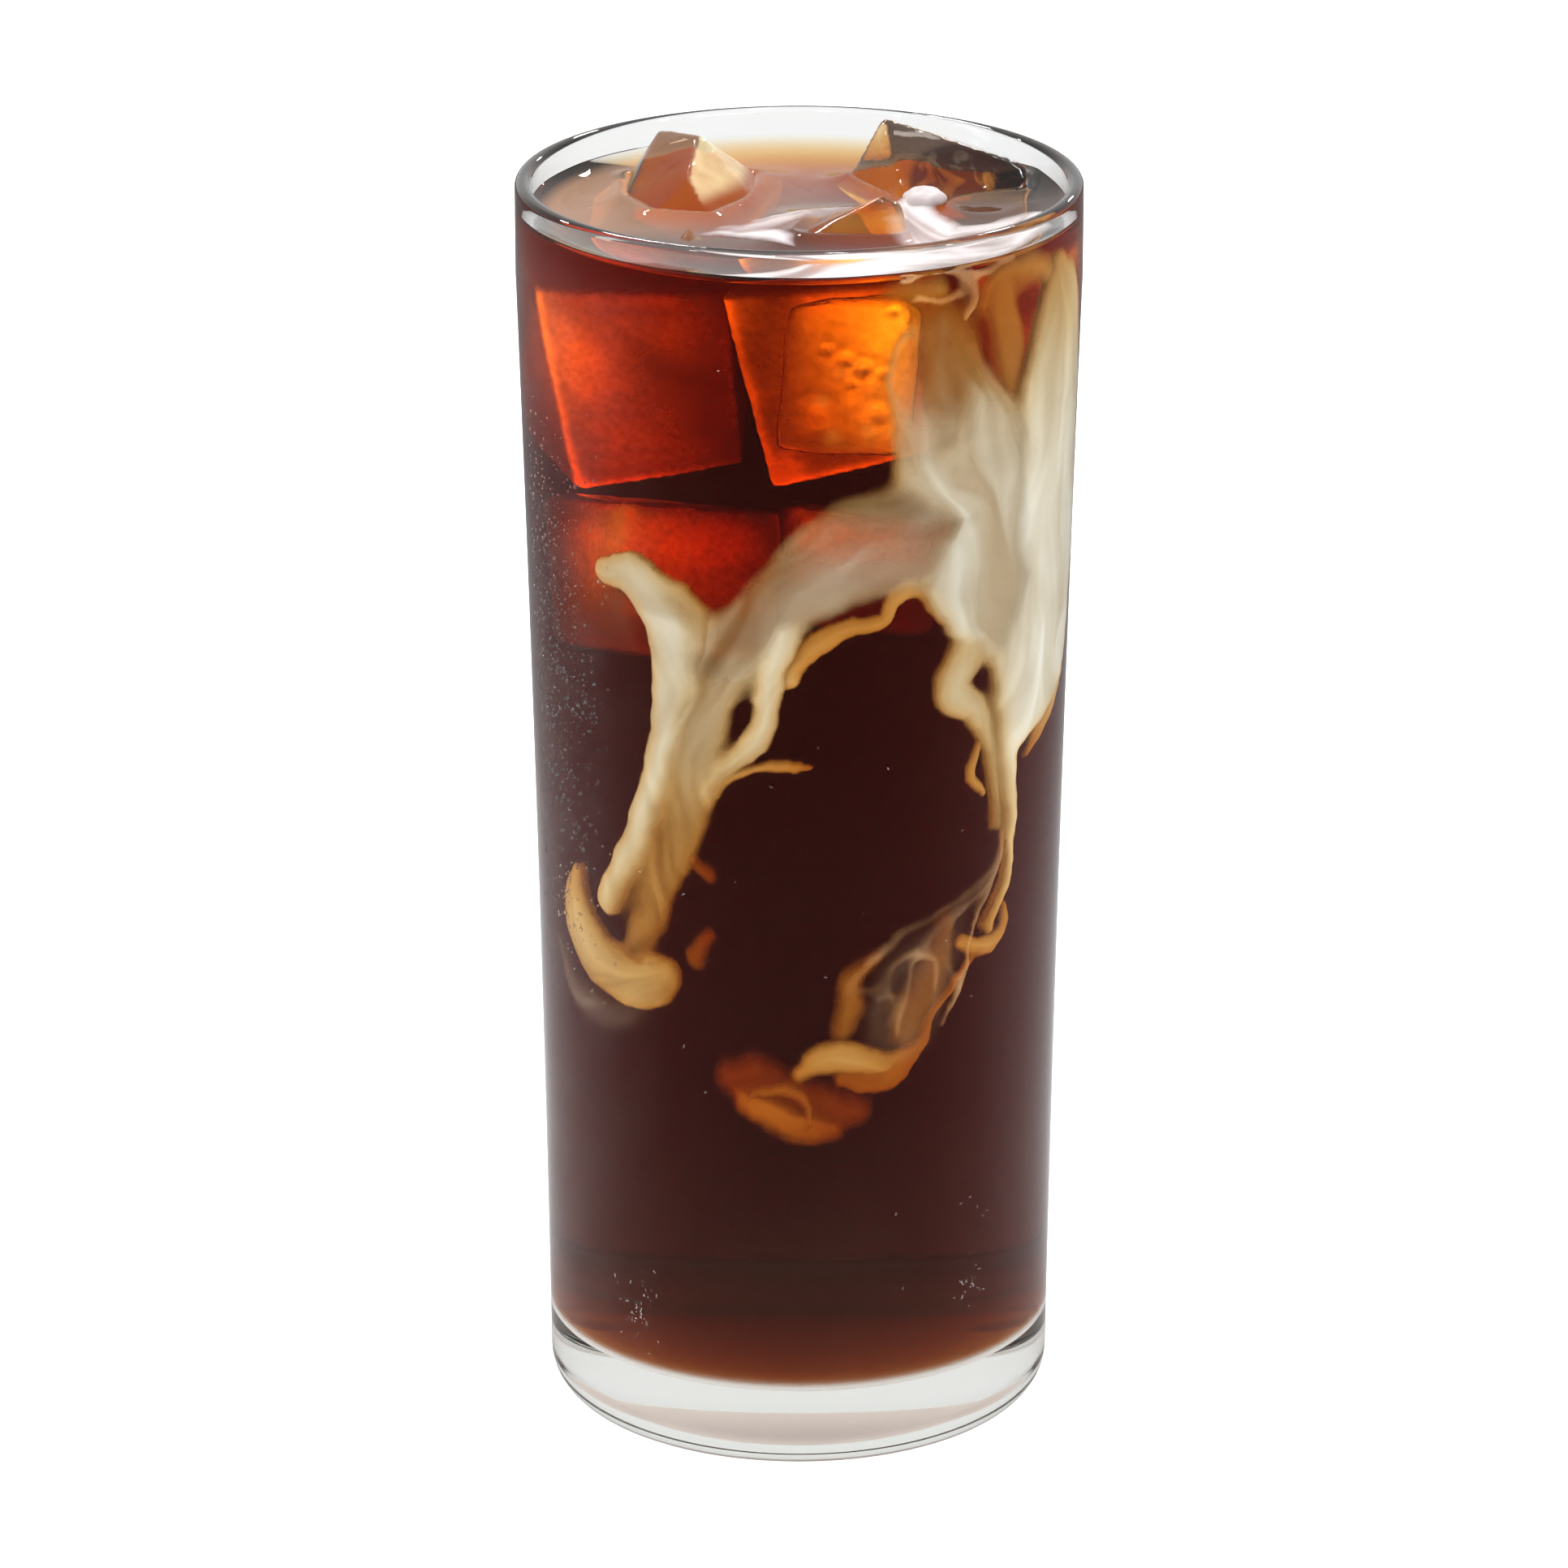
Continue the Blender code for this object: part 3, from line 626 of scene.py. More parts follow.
def make_sunk(name, centre, sides, lean):
    """A cube that is wholly sunk."""
    shape = bmesh.new()
    bmesh.ops.create_cube(shape, size=MM)
    bmesh.ops.scale(shape, verts=shape.verts, vec=sides)
    for vert in shape.verts:
        if name in WEDGES and vert.co.x < 0 < vert.co.y:
            vert.co.y = (WEDGES[name] - sides[1] / 2) * MM
    cube = object_of(shape, name)
    cube.rotation_euler = [radians(a) for a in lean]
    cube.location = Vector(centre) * MM
    bpy.context.view_layer.update()
    cube.data.transform(cube.matrix_world)
    cube.matrix_world.identity()
    weather(cube, name, SUNK_VOXEL, SUNK_MELT, [])
    return cube


# ---------------------------------------------------------------- coffee
def surface(radius):
    """Height of the coffee's surface away from the ice."""
    edge = inside(LEVEL) + INTO_WALL
    return LEVEL + MENISCUS * np.exp((np.asarray(radius) - edge) / MENISCUS_REACH)


def climb_at_ice(x, y, trees):
    """How far the surface lifts here, because it clings to the ice and ripples a little."""
    flat = Vector((x, y, LEVEL))
    near = min(tree.find_nearest(flat * MM)[3] for tree in trees) / MM
    ripple = RIPPLES * fractal(flat * 0.12, 1.0, 2.0, 2)
    return ICE_MENISCUS * exp(-near / ICE_REACH) + ripple * min(1.0, near / 3)


def make_coffee(cubes, sunk):
    """The drink: a turned body with its surface, which leaves room for the ice."""
    edge = inside(LEVEL) + INTO_WALL
    radii = np.concatenate([np.linspace(0.5, edge - 6, 56), np.linspace(edge - 5.6, edge, 22)])
    top = [(r, surface(r)) for r in radii]
    side_z = np.linspace(surface(edge) - 1.0, FLOOR_Z + FLOOR_CORNER, 48)
    corner = arc((inside(side_z[-1]) + INTO_WALL - FLOOR_CORNER, FLOOR_Z + FLOOR_CORNER),
                 FLOOR_CORNER, 0, -90, 10)
    base = [(r, FLOOR_Z - INTO_WALL) for r in (24.0, 18.0, 12.0, 6.0)]
    corner = [(r, z - INTO_WALL * (i / 10)) for i, (r, z) in enumerate(corner)]
    side = [(inside(z) + INTO_WALL, z) for z in side_z]
    profile = [(0.0, LEVEL)] + top + side + corner[1:] + base + [(0.0, FLOOR_Z - INTO_WALL)]
    coffee = turned("cold_brew", profile)
    trees = [tree_of(cube) for cube in cubes]
    for vert in coffee.data.vertices:
        p = vert.co / MM
        if p.z > LEVEL - 0.01:
            vert.co.z += climb_at_ice(p.x, p.y, trees) * MM
    for cube in cubes + sunk:
        mesh = cube.data.copy()
        inflate(mesh, -INTO_ICE)
        cut(coffee, add_object("room", mesh))
    coffee.data.shade_smooth()
    coffee.data.set_sharp_from_angle(angle=radians(50))
    mark_dry(coffee, coffee_is_dry)
    store(coffee.data, "under", [smoothstep((FLOOR_Z + 2.5 - v.co.z / MM) / 2.0)
                                 * smoothstep(-2.0 * v.normal.z - .6) for v in coffee.data.vertices])
    return coffee


# ---------------------------------------------------------------- noise and flow on a grid
def value_noise(x, y, seed):
    """Smooth noise from 0 to 1, with blotches one unit across."""
    table = np.random.RandomState(seed).rand(256, 256)
    ix, iy = np.floor(x).astype(int), np.floor(y).astype(int)
    fx, fy = x - ix, y - iy
    fx, fy = fx * fx * (3 - 2 * fx), fy * fy * (3 - 2 * fy)
    low, high = [table[ix & 255, (iy + k) & 255] * (1 - fx) + table[(ix + 1) & 255, (iy + k) & 255] * fx
                 for k in (0, 1)]
    return low * (1 - fy) + high * fy


def cloud(x, y, scale, octaves, seed):
    """Fractal noise from 0 to 1, its largest blotches `scale` mm across."""
    total, weight, gain = 0.0, 0.0, 1.0
    for i in range(octaves):
        total = total + gain * value_noise(x / scale * 2 ** i + 31.7 * i, y / scale * 2 ** i, seed + i)
        weight += gain
        gain *= 0.5
    return total / weight


def smooth_path(points):
    """Points of a smooth curve (Catmull-Rom) through rows of numbers, the third one a width."""
    rows = np.array(points, float)
    rows = np.vstack([2 * rows[0] - rows[1], rows, 2 * rows[-1] - rows[-2]])
    out = []
    for a, b, c, d in zip(rows[:-3], rows[1:-2], rows[2:-1], rows[3:]):
        for t in np.linspace(0, 1, PATH_STEPS, endpoint=False):
            out.append(.5 * (2 * b + (c - a) * t + (2 * a - 5 * b + 4 * c - d) * t * t
                             + (3 * b - a - 3 * c + d) * t ** 3))
    out = np.array(out + [rows[-2]])
    out[:, 2] = np.maximum(out[:, 2], THINNEST)
    return out


def stroke_field(x, y, strokes):
    """Blends strokes on a grid. Returns the signed distance to the edge and the other numbers."""
    total = np.zeros_like(x)
    sums = {name: np.zeros_like(x) for name in ("depth", "density", "soft", "dx", "dy")}
    corner = x[0, 0], y[0, 0]
    for density, soft, points in strokes.values():
        path = smooth_path(points)
        best = np.full(x.shape, 9.0)
        here = {name: np.zeros_like(x) for name in ("depth", "dx", "dy")}
        for a, b in zip(path[:-1], path[1:]):
            reach = max(a[2], b[2]) + 3.0
            low = [int((min(a[k], b[k]) - reach - corner[k]) / MILK_STEP) for k in (0, 1)]
            high = [int((max(a[k], b[k]) + reach - corner[k]) / MILK_STEP) + 2 for k in (0, 1)]
            part = tuple(slice(max(i, 0), max(j, 0)) for i, j in zip(low, high))
            px, py = x[part] - a[0], y[part] - a[1]
            run = b[:2] - a[:2]
            length = max(float(run @ run), 1e-9)
            t = np.clip((px * run[0] + py * run[1]) / length, 0, 1)
            off = np.hypot(px - t * run[0], py - t * run[1]) - (a[2] + (b[2] - a[2]) * t)
            closer = off < best[part]
            best[part] = np.where(closer, off, best[part])
            found = {"depth": a[3] + (b[3] - a[3]) * t,
                     "dx": run[0] / length ** .5, "dy": run[1] / length ** .5}
            for name, value in found.items():
                here[name][part] = np.where(closer, value, here[name][part])
        weight = np.exp(-best / MILK_BLEND)
        total += weight
        for name, value in {"density": density, "soft": soft, **here}.items():
            sums[name] += weight * value
    total = np.maximum(total, 1e-12)
    field = {name: value / total for name, value in sums.items()}
    field["edge"] = -MILK_BLEND * np.log(total)
    return field


def cells_of(grid):
    """The row and the column of every point of a grid."""
    return np.meshgrid(*(np.arange(n, dtype=float) for n in grid.shape), indexing="ij")


def sample(grid, i, j):
    """The grid's values between its points."""
    i = np.clip(i, 0, grid.shape[0] - 1.001)
    j = np.clip(j, 0, grid.shape[1] - 1.001)
    a, b = i.astype(int), j.astype(int)
    u, v = i - a, j - b
    return ((grid[a, b] * (1 - u) + grid[a + 1, b] * u) * (1 - v)
            + (grid[a, b + 1] * (1 - u) + grid[a + 1, b + 1] * u) * v)


def shifted(field, shift_x, shift_y):
    """Every grid of a field, read this many mm aside."""
    rows, columns = cells_of(shift_x)
    i, j = rows + shift_x / MILK_STEP, columns + shift_y / MILK_STEP
    return {name: sample(grid, i, j) for name, grid in field.items()}


def dragged(pattern, dx, dy, reach):
    """The pattern smeared along a direction field, which draws it out into streaks."""
    rows, columns = cells_of(pattern)
    total = pattern.copy()
    for way in (1, -1):
        i, j = rows.copy(), columns.copy()
        for _ in range(reach):
            a = np.clip(i, 0, pattern.shape[0] - 1).astype(int)
            b = np.clip(j, 0, pattern.shape[1] - 1).astype(int)
            i, j = i + way * dx[a, b], j + way * dy[a, b]
            total += sample(pattern, i, j)
    return total / (2 * reach + 1)


def stretched(values, inside_mask):
    """Values spread to 0..1 over the masked part."""
    low, high = np.percentile(values[inside_mask], (3, 97))
    return np.clip((values - low) / (high - low), 0, 1)


def smoothstep(t):
    """A soft rise from 0 at 0 to 1 at 1."""
    t = np.clip(t, 0, 1)
    return t * t * (3 - 2 * t)


# ---------------------------------------------------------------- milk
def sheet_mesh(name, shown, front, back, attributes):
    """A closed lens over the cells whose corners are shown; front and back meet at its rim."""
    cells = shown[:-1, :-1] & shown[1:, :-1] & shown[1:, 1:] & shown[:-1, 1:]
    padded = np.pad(cells, 1)
    around = [padded[:-1, :-1], padded[1:, :-1], padded[1:, 1:], padded[:-1, 1:]]
    used = around[0] | around[1] | around[2] | around[3]
    rim = used & ~(around[0] & around[1] & around[2] & around[3])
    front_id = np.cumsum(used.ravel()).reshape(used.shape) - 1
    count = int(used.sum())
    inner = used & ~rim
    back_id = np.where(inner, count + np.cumsum(inner.ravel()).reshape(used.shape) - 1, front_id)
    middle = (front + back) / 2
    front = np.where(rim[..., None], middle, front)
    points = np.vstack([front[used], back[inner]]) * MM
    i, j = np.nonzero(cells)
    corners = [(i, j), (i + 1, j), (i + 1, j + 1), (i, j + 1)]
    faces_front = np.stack([front_id[c] for c in corners], axis=1)
    faces_back = np.stack([back_id[c] for c in reversed(corners)], axis=1)
    faces = np.vstack([faces_front, faces_back])
    mesh = bpy.data.meshes.new(name)
    mesh.from_pydata(points, [], faces.tolist())
    for key, values in attributes.items():
        store(mesh, key, np.concatenate([values[used], values[inner]]))
    mesh.shade_smooth()
    mesh.validate()
    return add_object(name, mesh)


def on_wall(along, height, depth):
    """Points behind the wall, for places on the unrolled wall."""
    radius = inside(height) - depth
    angle = along / inside(height)
    return np.stack([radius * np.sin(angle), -radius * np.cos(angle), height], axis=-1)


def grid_round(strokes):
    """Places on a grid that holds all strokes."""
    points = [p for _, _, points in strokes.values() for p in points]
    sides = [np.arange(min(p[k] - p[2] for p in points) - GRID_MARGIN,
                       max(p[k] + p[2] for p in points) + GRID_MARGIN, MILK_STEP) for k in (0, 1)]
    return np.meshgrid(*sides, indexing="ij")


def marbling(x, y, field, seed):
    """Streaks from 0 to 1 that follow the strokes, bent by slow eddies."""
    turn = 2.2 * (cloud(x, y, 7.0, 2, seed + 40) - .5)
    dx = field["dx"] * np.cos(turn) - field["dy"] * np.sin(turn)
    dy = field["dx"] * np.sin(turn) + field["dy"] * np.cos(turn)
    mask = field["edge"] < 0
    fine = dragged(cloud(x, y, 1.1, 2, seed), dx, dy, int(7 / MILK_STEP))
    broad = dragged(cloud(x, y, 4.0, 2, seed + 9), dx, dy, int(9 / MILK_STEP))
    return stretched(.25 * stretched(fine, mask) + .75 * stretched(broad, mask), mask)


def milk_field(strokes, seed):
    """The strokes on a grid, their outlines made uneven, with streaks along them."""
    x, y = grid_round(strokes)
    aside = [1.3 * (cloud(x, y, 5.0, 3, seed + k) - .5) + .5 * (cloud(x, y, 1.6, 2, seed + 5 + k) - .5)
             for k in (0, 3)]
    field = shifted(stroke_field(x, y, strokes), *aside)
    field["streaks"] = marbling(x, y, field, seed + 20)
    field["x"], field["y"] = x, y
    return field


def milk_sheet(name, field, behind=0.0, thinning=0.0):
    """One layer of milk, this far behind the depth of its strokes."""
    edge, streaks = field["edge"], field["streaks"]
    body = smoothstep(-edge / 1.2)
    depth = np.maximum(field["depth"] + behind, .08) + MILK_ROLL * np.exp(np.minimum(edge, 0) / .9)
    depth += MILK_RELIEF * (1 - streaks) * body
    thick = MILK_THICK * (1 - np.exp(np.minimum(edge, 0) / MILK_THICK))
    thin = field["density"]
    if thinning:
        thin = thin * np.clip(1 - thinning * (1.15 - field["density"]) * (1 - streaks) * 1.6, 0, 1)
        thick = .3 * smoothstep(-edge)
    else:
        thin = thin ** .9
    veil = thin * smoothstep(-edge / field["soft"])
    front = on_wall(field["x"], field["y"], depth)
    back = on_wall(field["x"], field["y"], depth + thick)
    return sheet_mesh(name, edge < 0, front, back, {"streaks": streaks, "veil": veil})


def film_sheet(name, strokes, seed, cubes):
    """Milk that floats on the coffee."""
    trees = [tree_of(cube) for cube in cubes]
    flat = {key: (d, s, [(*p, 0.0) for p in points]) for key, (d, s, points) in strokes.items()}
    x, y = grid_round(flat)
    aside = [2.6 * (cloud(x, y, 5.0, 3, seed + k) - .5) for k in (0, 4)]
    field = shifted(stroke_field(x, y, flat), *aside)
    edge = field["edge"]
    streaks = marbling(x, y, field, seed + 20)
    radius = np.hypot(x, y)
    shown = (edge < 0) & (radius < inside(LEVEL) - .05)
    height = surface(radius) + .05
    for i, j in zip(*np.nonzero(edge < .5)):
        height[i, j] += climb_at_ice(x[i, j], y[i, j], trees)
    low = np.stack([x, y, height], axis=-1)
    high = np.stack([x, y, height + FILM_THICK * smoothstep(-edge)], axis=-1)
    veil = field["density"] * smoothstep(-edge / field["soft"]) * (.3 + .7 * smoothstep(streaks * 1.4))
    return sheet_mesh(name, shown, high, low, {"streaks": streaks, "veil": veil})


def make_drop(cubes):
    """A thick drop of milk at the foot of the right-hand ice."""
    x, y = DROP_PLACE
    drop = ball((0, 0, 0), 1.0)
    trees = [tree_of(cube) for cube in cubes]
    hits = [tree.ray_cast(Vector((x, y, 160.0)) * MM, Vector((0, 0, -1)))[0] for tree in trees]
    top = max([hit.z / MM for hit in hits if hit] + [surface(0.0)])
    place = Matrix.Translation(Vector((x, y, top + .1)) * MM)
    lean = Matrix.Rotation(radians(-12), 4, "X") @ Matrix.Rotation(radians(-50), 4, "Z")
    drop.data.transform(place @ lean @ Matrix.Diagonal((*DROP_SIZE, 1)))
    for vert in drop.data.vertices:
        vert.co += vert.normal * .5 * MM * fractal(vert.co / MM * .5, 1.0, 2.0, 2)
    drop.data.shade_smooth()
    store(drop.data, "streaks", [.8] * len(drop.data.vertices))
    store(drop.data, "veil", [1.0] * len(drop.data.vertices))
    drop.name = "milk_drop"
    return drop


# ---------------------------------------------------------------- on the outside of the glass
def on_outside(turn, height, out):
    """A point this far outside the wall, at a turn in degrees from the front (left is minus)."""
    radius = outside(height) + out
    return Vector((radius * sin(radians(turn)), -radius * cos(radians(turn)), height))


def make_beads():
    """Fine drops of condensation on the left of the wall."""
    random = np.random.RandomState(5)
    shape = bmesh.new()
    for _ in range(BEADS):
        turn = -76 + 34 * random.beta(1.2, 2.2)
        height = random.triangular(50, 96, 128)
        radius = random.uniform(.09, .22) * random.choice((1, 1, 1, 1.6))
        place = Matrix.Translation(on_outside(turn, height, -.35 * radius) * MM)
        bmesh.ops.create_icosphere(shape, subdivisions=1, radius=radius * MM, matrix=place)
    beads = object_of(shape, "beads")
    beads.data.shade_smooth()
    return beads


def make_scuffs():
    """Short fine scratches on the outside."""
    random = np.random.RandomState(8)
    shape = bmesh.new()
    for turn, height, spread, number in SCUFFS:
        for _ in range(number):
            at_turn, at_height = random.normal(turn, spread), random.normal(height, spread * .7)
            if not FOOT_CORNER < at_height < SHOULDER_Z:
                continue
            lean = random.uniform(0, pi)
            length = random.uniform(.1, .55)
            along = Vector((cos(lean), sin(lean))) * length
            across = Vector((-sin(lean), cos(lean))) * random.uniform(.03, .06)
            corners = []
            for side in (-across, across):
                for end in (-1, 1):
                    step = along * end * .5 + side
                    aside = step.x / outside(at_height) * 180 / pi
                    corner = on_outside(at_turn + aside, at_height + step.y, .01)
                    corners.append(shape.verts.new(corner * MM))
            shape.faces.new((corners[0], corners[1], corners[3], corners[2]))
    return object_of(shape, "scuffs")


# ---------------------------------------------------------------- materials
WHITE = (1, 1, 1, 1)
FLOOR_DROP = -0.0002      # keeps the floor and the foot's flat ring apart


class Nodes:
    """Short names for building a node tree."""

    def __init__(self, owner):
        owner.use_nodes = True
        self.tree = owner.node_tree
        self.tree.nodes.clear()

    def node(self, kind, values=None, **settings):
        """A new node. Its values are numbers, or the outputs of other nodes."""
        node = self.tree.nodes.new("ShaderNode" + kind)
        for key, value in settings.items():
            setattr(node, key, value)
        for key, value in (values or {}).items():
            if isinstance(value, bpy.types.NodeSocket):
                self.tree.links.new(value, node.inputs[key])
            else:
                node.inputs[key].default_value = value
        return node

    def add(self, kind, values=None, **settings):
        """The first output of a new node."""
        return self.node(kind, values, **settings).outputs[0]

    def math(self, operation, a, b=0.0, clamp=False, plus=0.0):
        return self.add("Math", {0: a, 1: b, 2: plus}, operation=operation, use_clamp=clamp)

    def times(self, a, b, clamp=False):
        return self.math("MULTIPLY", a, b, clamp)

    def ramp(self, factor, stops):
        """A colour by the factor, from (place, colour); a single number stands for a grey."""
        node = self.node("ValToRGB", {"Fac": factor})
        elements = node.color_ramp.elements
        while len(elements) < len(stops):
            elements.new(0.5)
        for element, (place, colour) in zip(elements, stops):
            if isinstance(colour, (int, float)):
                colour = (colour,) * 3
            element.position = place
            element.color = (*colour, 1.0)
        return node.outputs["Color"]

    def blend(self, factor, a, b, **settings):
        """A mixture of colours."""
        values = {"Factor": factor, "A": a, "B": b}
        return self.node("Mix", values, data_type="RGBA", **settings).outputs["Result"]

    def mix(self, factor, a, b):
        """A mixture of surfaces."""
        return self.add("MixShader", {0: factor, 1: a, 2: b})

    def both(self, a, b):
        return self.add("AddShader", {0: a, 1: b})

    def place(self):
        return self.node("TexCoord").outputs["Object"]

    def axes(self, vector):
        return self.node("SeparateXYZ", {0: vector}).outputs

    def noise(self, scale, detail, distortion=0.0):
        """Grey noise in the piece's own space; the scale is per metre."""
        return self.add("TexNoise", {"Vector": self.place(), "Scale": scale, "Detail": detail,
                                     "Distortion": distortion})

    def bump(self, strength, distance, height):
        return self.add("Bump", {"Strength": strength, "Distance": distance, "Height": height})

    def attribute(self, name, output="Fac"):
        """One of the numbers that `store` gave each vertex."""
        return self.node("Attribute", attribute_name=name).outputs[output]

    def diffuse(self, colour, **values):
        return self.add("BsdfDiffuse", {"Color": colour, **values})

    def translucent(self, colour, **values):
        return self.add("BsdfTranslucent", {"Color": colour, **values})

    def emission(self, colour, strength=1.0):
        return self.add("Emission", {"Color": colour, "Strength": strength})

    def nothing(self):
        """A surface that isn't there."""
        return self.add("BsdfTransparent")

    def clear(self, ior, values):
        """A body that light passes through, bent."""
        always = {"Roughness": 0.0, "IOR": ior, "Transmission Weight": 1.0}
        return self.add("BsdfPrincipled", {**always, **values})

    def light_gets_through(self, shader):
        """Light on its way to what lies inside, and light scattered by it, isn't bent."""
        path = self.node("LightPath").outputs
        straight = self.math("MAXIMUM", path["Is Shadow Ray"], path["Is Diffuse Ray"])
        return self.mix(straight, shader, self.nothing())

    def absorption(self, rates):
        """A volume that takes up red, green and blue at these rates per metre."""
        strongest = max(rates)
        colour = (*(1 - rate / strongest for rate in rates), 1)
        return self.add("VolumeAbsorption", {"Color": colour, "Density": strongest})

    def output(self, surface, volume=None, kind="OutputMaterial"):
        node = self.node(kind, {"Surface": surface})
        if volume is not None:
            self.tree.links.new(volume, node.inputs["Volume"])


def new_material(name):
    """A material and its empty node tree."""
    made = bpy.data.materials.new(name)
    return made, Nodes(made)


def glass_material():
    """Clear glass."""
    made, n = new_material("clear_glass")
    clear = n.clear(GLASS_IOR, {
        "Base Color": (0.975, 0.99, 0.985, 1), "Specular Tint": n.attribute("dry", "Color"),
        "Normal": n.bump(0.06, 0.0004, n.noise(30.0, 2.0))})
    # A breath of condensation on the left of the wall, below the rim.
    x, _, z = n.axes(n.place())
    left = n.math("SUBTRACT", n.times(x, -60.0), 0.9, True)
    low = n.times(n.math("SUBTRACT", MIST_TOP * MM, z), 200.0, True)
    blotch = n.ramp(n.noise(180.0, 4.0, 0.4), [(0.35, 0), (0.75, 1)])
    faint = n.math("ADD", n.times(blotch, 0.014), 0.003)
    breath = n.diffuse((0.75, 0.74, 0.75, 1))
    misted = n.mix(n.times(n.times(left, low), faint), clear, breath)
    n.output(n.light_gets_through(misted), n.absorption(GLASS_ABSORB))
    return made


def water_material():
    """The beads on the glass."""
    made, n = new_material("water")
    n.output(n.light_gets_through(n.clear(WATER_IOR, {"Base Color": WHITE})))
    return made


def scuff_material():
    """Pale flecks that thin out within each scratch."""
    made, n = new_material("scuff")
    strength = n.ramp(n.noise(700.0, 2.0), [(.35, .02), (.7, .45)])
    n.output(n.mix(strength, n.nothing(), n.diffuse((0.8, 0.78, 0.76, 1))))
    return made


def coffee_material():
    """The drink: browner with depth, and cloudy where milk has mixed in; the haze thickens towards the floor,
    a painted glow of the light from below, and lies on the surface as a painted sheen.
    """
    made, n = new_material("coffee")
    x, y, z = n.axes(n.place())
    dry = n.attribute("dry")
    # In front, to the left, its surface is in the shade of the rim.
    in_front = n.math("SUBTRACT", n.times(y, -140.0), 0.3, True)
    at_left = n.math("SUBTRACT", 1.0, n.times(x, 140.0), True)
    shade = n.times(n.times(n.times(in_front, at_left), dry), 2.0, True)
    clear = n.clear(COFFEE_IOR, {
        "Base Color": n.blend(shade, WHITE, (.16, .13, .13, 1)),
        "Specular Tint": n.attribute("dry", "Color")})
    # Its underside lets an even brown light in, a painted glow, and is painted pale so it looks lit from the
    # foot of the glass.
    below = n.both(n.translucent((0.12, 0.028, 0.013, 1)), n.diffuse((0.62, 0.68, 0.68, 1)))
    clear = n.mix(n.times(n.attribute("under"), 0.7), clear, below)
    # The haze grows towards the floor: a painted glow of the light from below.
    low = n.ramp(n.math("DIVIDE", z, HEIGHT * MM), [(.06, .04), (.12, .022), (.30, .007), (1.0, .005)])
    haze_and_painted_light = n.times(low, n.math("ADD", n.noise(60.0, 3.0, 0.6), 0.5))
    # Its surface has a painted sheen, a pale haze, towards the left, and clears again where it climbs the
    # wall.
    forward = n.math("MAXIMUM", n.times(y, -14.0), 0.0)
    leftward = n.math("MULTIPLY_ADD", x, 16.0, plus=0.5)
    across = n.ramp(n.math("ADD", leftward, forward), [(.05, .30), (.35, .16), (.55, .06), (.75, .04)])
    climbing = n.times(n.math("SUBTRACT", z, (LEVEL + 1.1) * MM), 1500.0, True)
    flat = n.times(n.math("SUBTRACT", 1.0, climbing), dry)
    haze_and_painted_light = n.math("ADD", haze_and_painted_light, n.times(across, flat), True)
    # A brown haze lit like a surface; it carries the painted glow near the floor and the painted sheen on
    # top.
    murk_and_painted_glow = n.diffuse((0.70, 0.38, 0.22, 1))
    n.output(n.light_gets_through(n.mix(haze_and_painted_light, clear, murk_and_painted_glow)), n.absorption(ABSORB))
    return made


def ice_material(name, roughness, ior):
    """Melting ice: clear, with a frosted skin below the drink that glows with the light inside; the skin lies
    where the stored glow puts it, a painted glow, brighter along the edges as a painted edge highlight.
    """
    made, n = new_material(name)
    bump = n.bump(0.25, 0.0002, n.noise(900.0, 3.0, 0.3))
    # Hollows above the drink are painted dark: a painted reflection of the dark drink.
    dark = n.times(n.attribute("dark"), n.ramp(n.noise(260.0, 3.0, 1.2), [(.34, .3), (.52, 1)]))
    clear = n.clear(ior, {
        "Base Color": n.blend(dark, WHITE, (.10, .022, .014, 1)), "Roughness": roughness,
        "Specular Tint": n.attribute("dry", "Color"), "Normal": bump})
    # Facets that face one way above the drink are cloudy, with a painted paleness that brightens them.
    haze_and_painted_light = n.times(n.attribute("pale"), n.ramp(n.noise(220.0, 2.0, 0.6), [(.3, .03), (.7, .05)]))
    clear = n.mix(haze_and_painted_light, clear, n.diffuse((0.95, 0.74, 1.0, 1), Normal=bump))
    # The amount of skin is a painted glow: the stored glow, made brighter along edges as a painted highlight,
    # broken up by patches and grain.
    patches = n.math("MULTIPLY_ADD", n.noise(150.0, 4.0, 1.0), 1.1, plus=0.45)
    grain = n.math("MULTIPLY_ADD", n.noise(1300.0, 2.0), 0.9, plus=0.55)
    painted_edge_light = n.math("MULTIPLY_ADD", n.attribute("edge"), 0.5, plus=1.0)
    painted_glow = n.times(n.times(n.attribute("glow"), painted_edge_light), n.times(patches, grain), True)
    skin = n.mix(0.35, n.translucent(WHITE, Normal=bump), n.diffuse(WHITE, Normal=bump))
    n.output(n.light_gets_through(n.mix(painted_glow, clear, skin)), n.absorption(ICE_ABSORB))
    return made


def milk_material(name, dark, light):
    """Milk with streaks from dark to light, through whose veil the drink shows."""
    made, n = new_material(name)
    blotch = n.noise(140.0, 3.0, 0.8)
    tone = n.math("ADD", n.times(n.attribute("streaks"), 0.6), n.times(blotch, 0.5), True)
    middle = [(a + b) / 2 for a, b in zip(dark, light)]
    colour = n.ramp(tone, [(0.08, dark), (0.5, middle), (0.9, light)])
    n.output(n.mix(n.attribute("veil"), n.nothing(), n.diffuse(colour)))
    return made


# ---------------------------------------------------------------- studio
# Brightness of the room by direction, from behind the camera (0) to behind the glass (1): what
# mirrors in the glass, and what lights the milk.
MIRRORED = [(0.0, .14), (.08, .15), (.23, .16), (.39, .22), (.52, .35), (.65, .44), (.76, .55),
            (.85, .66), (.92, .78), (1.0, 1.0)]
LIGHTING = [(0.0, .60), (.25, .65), (.5, .75), (.75, .9), (1.0, 1.0)]
LIGHT_AIM = (0, 0, 0.11)
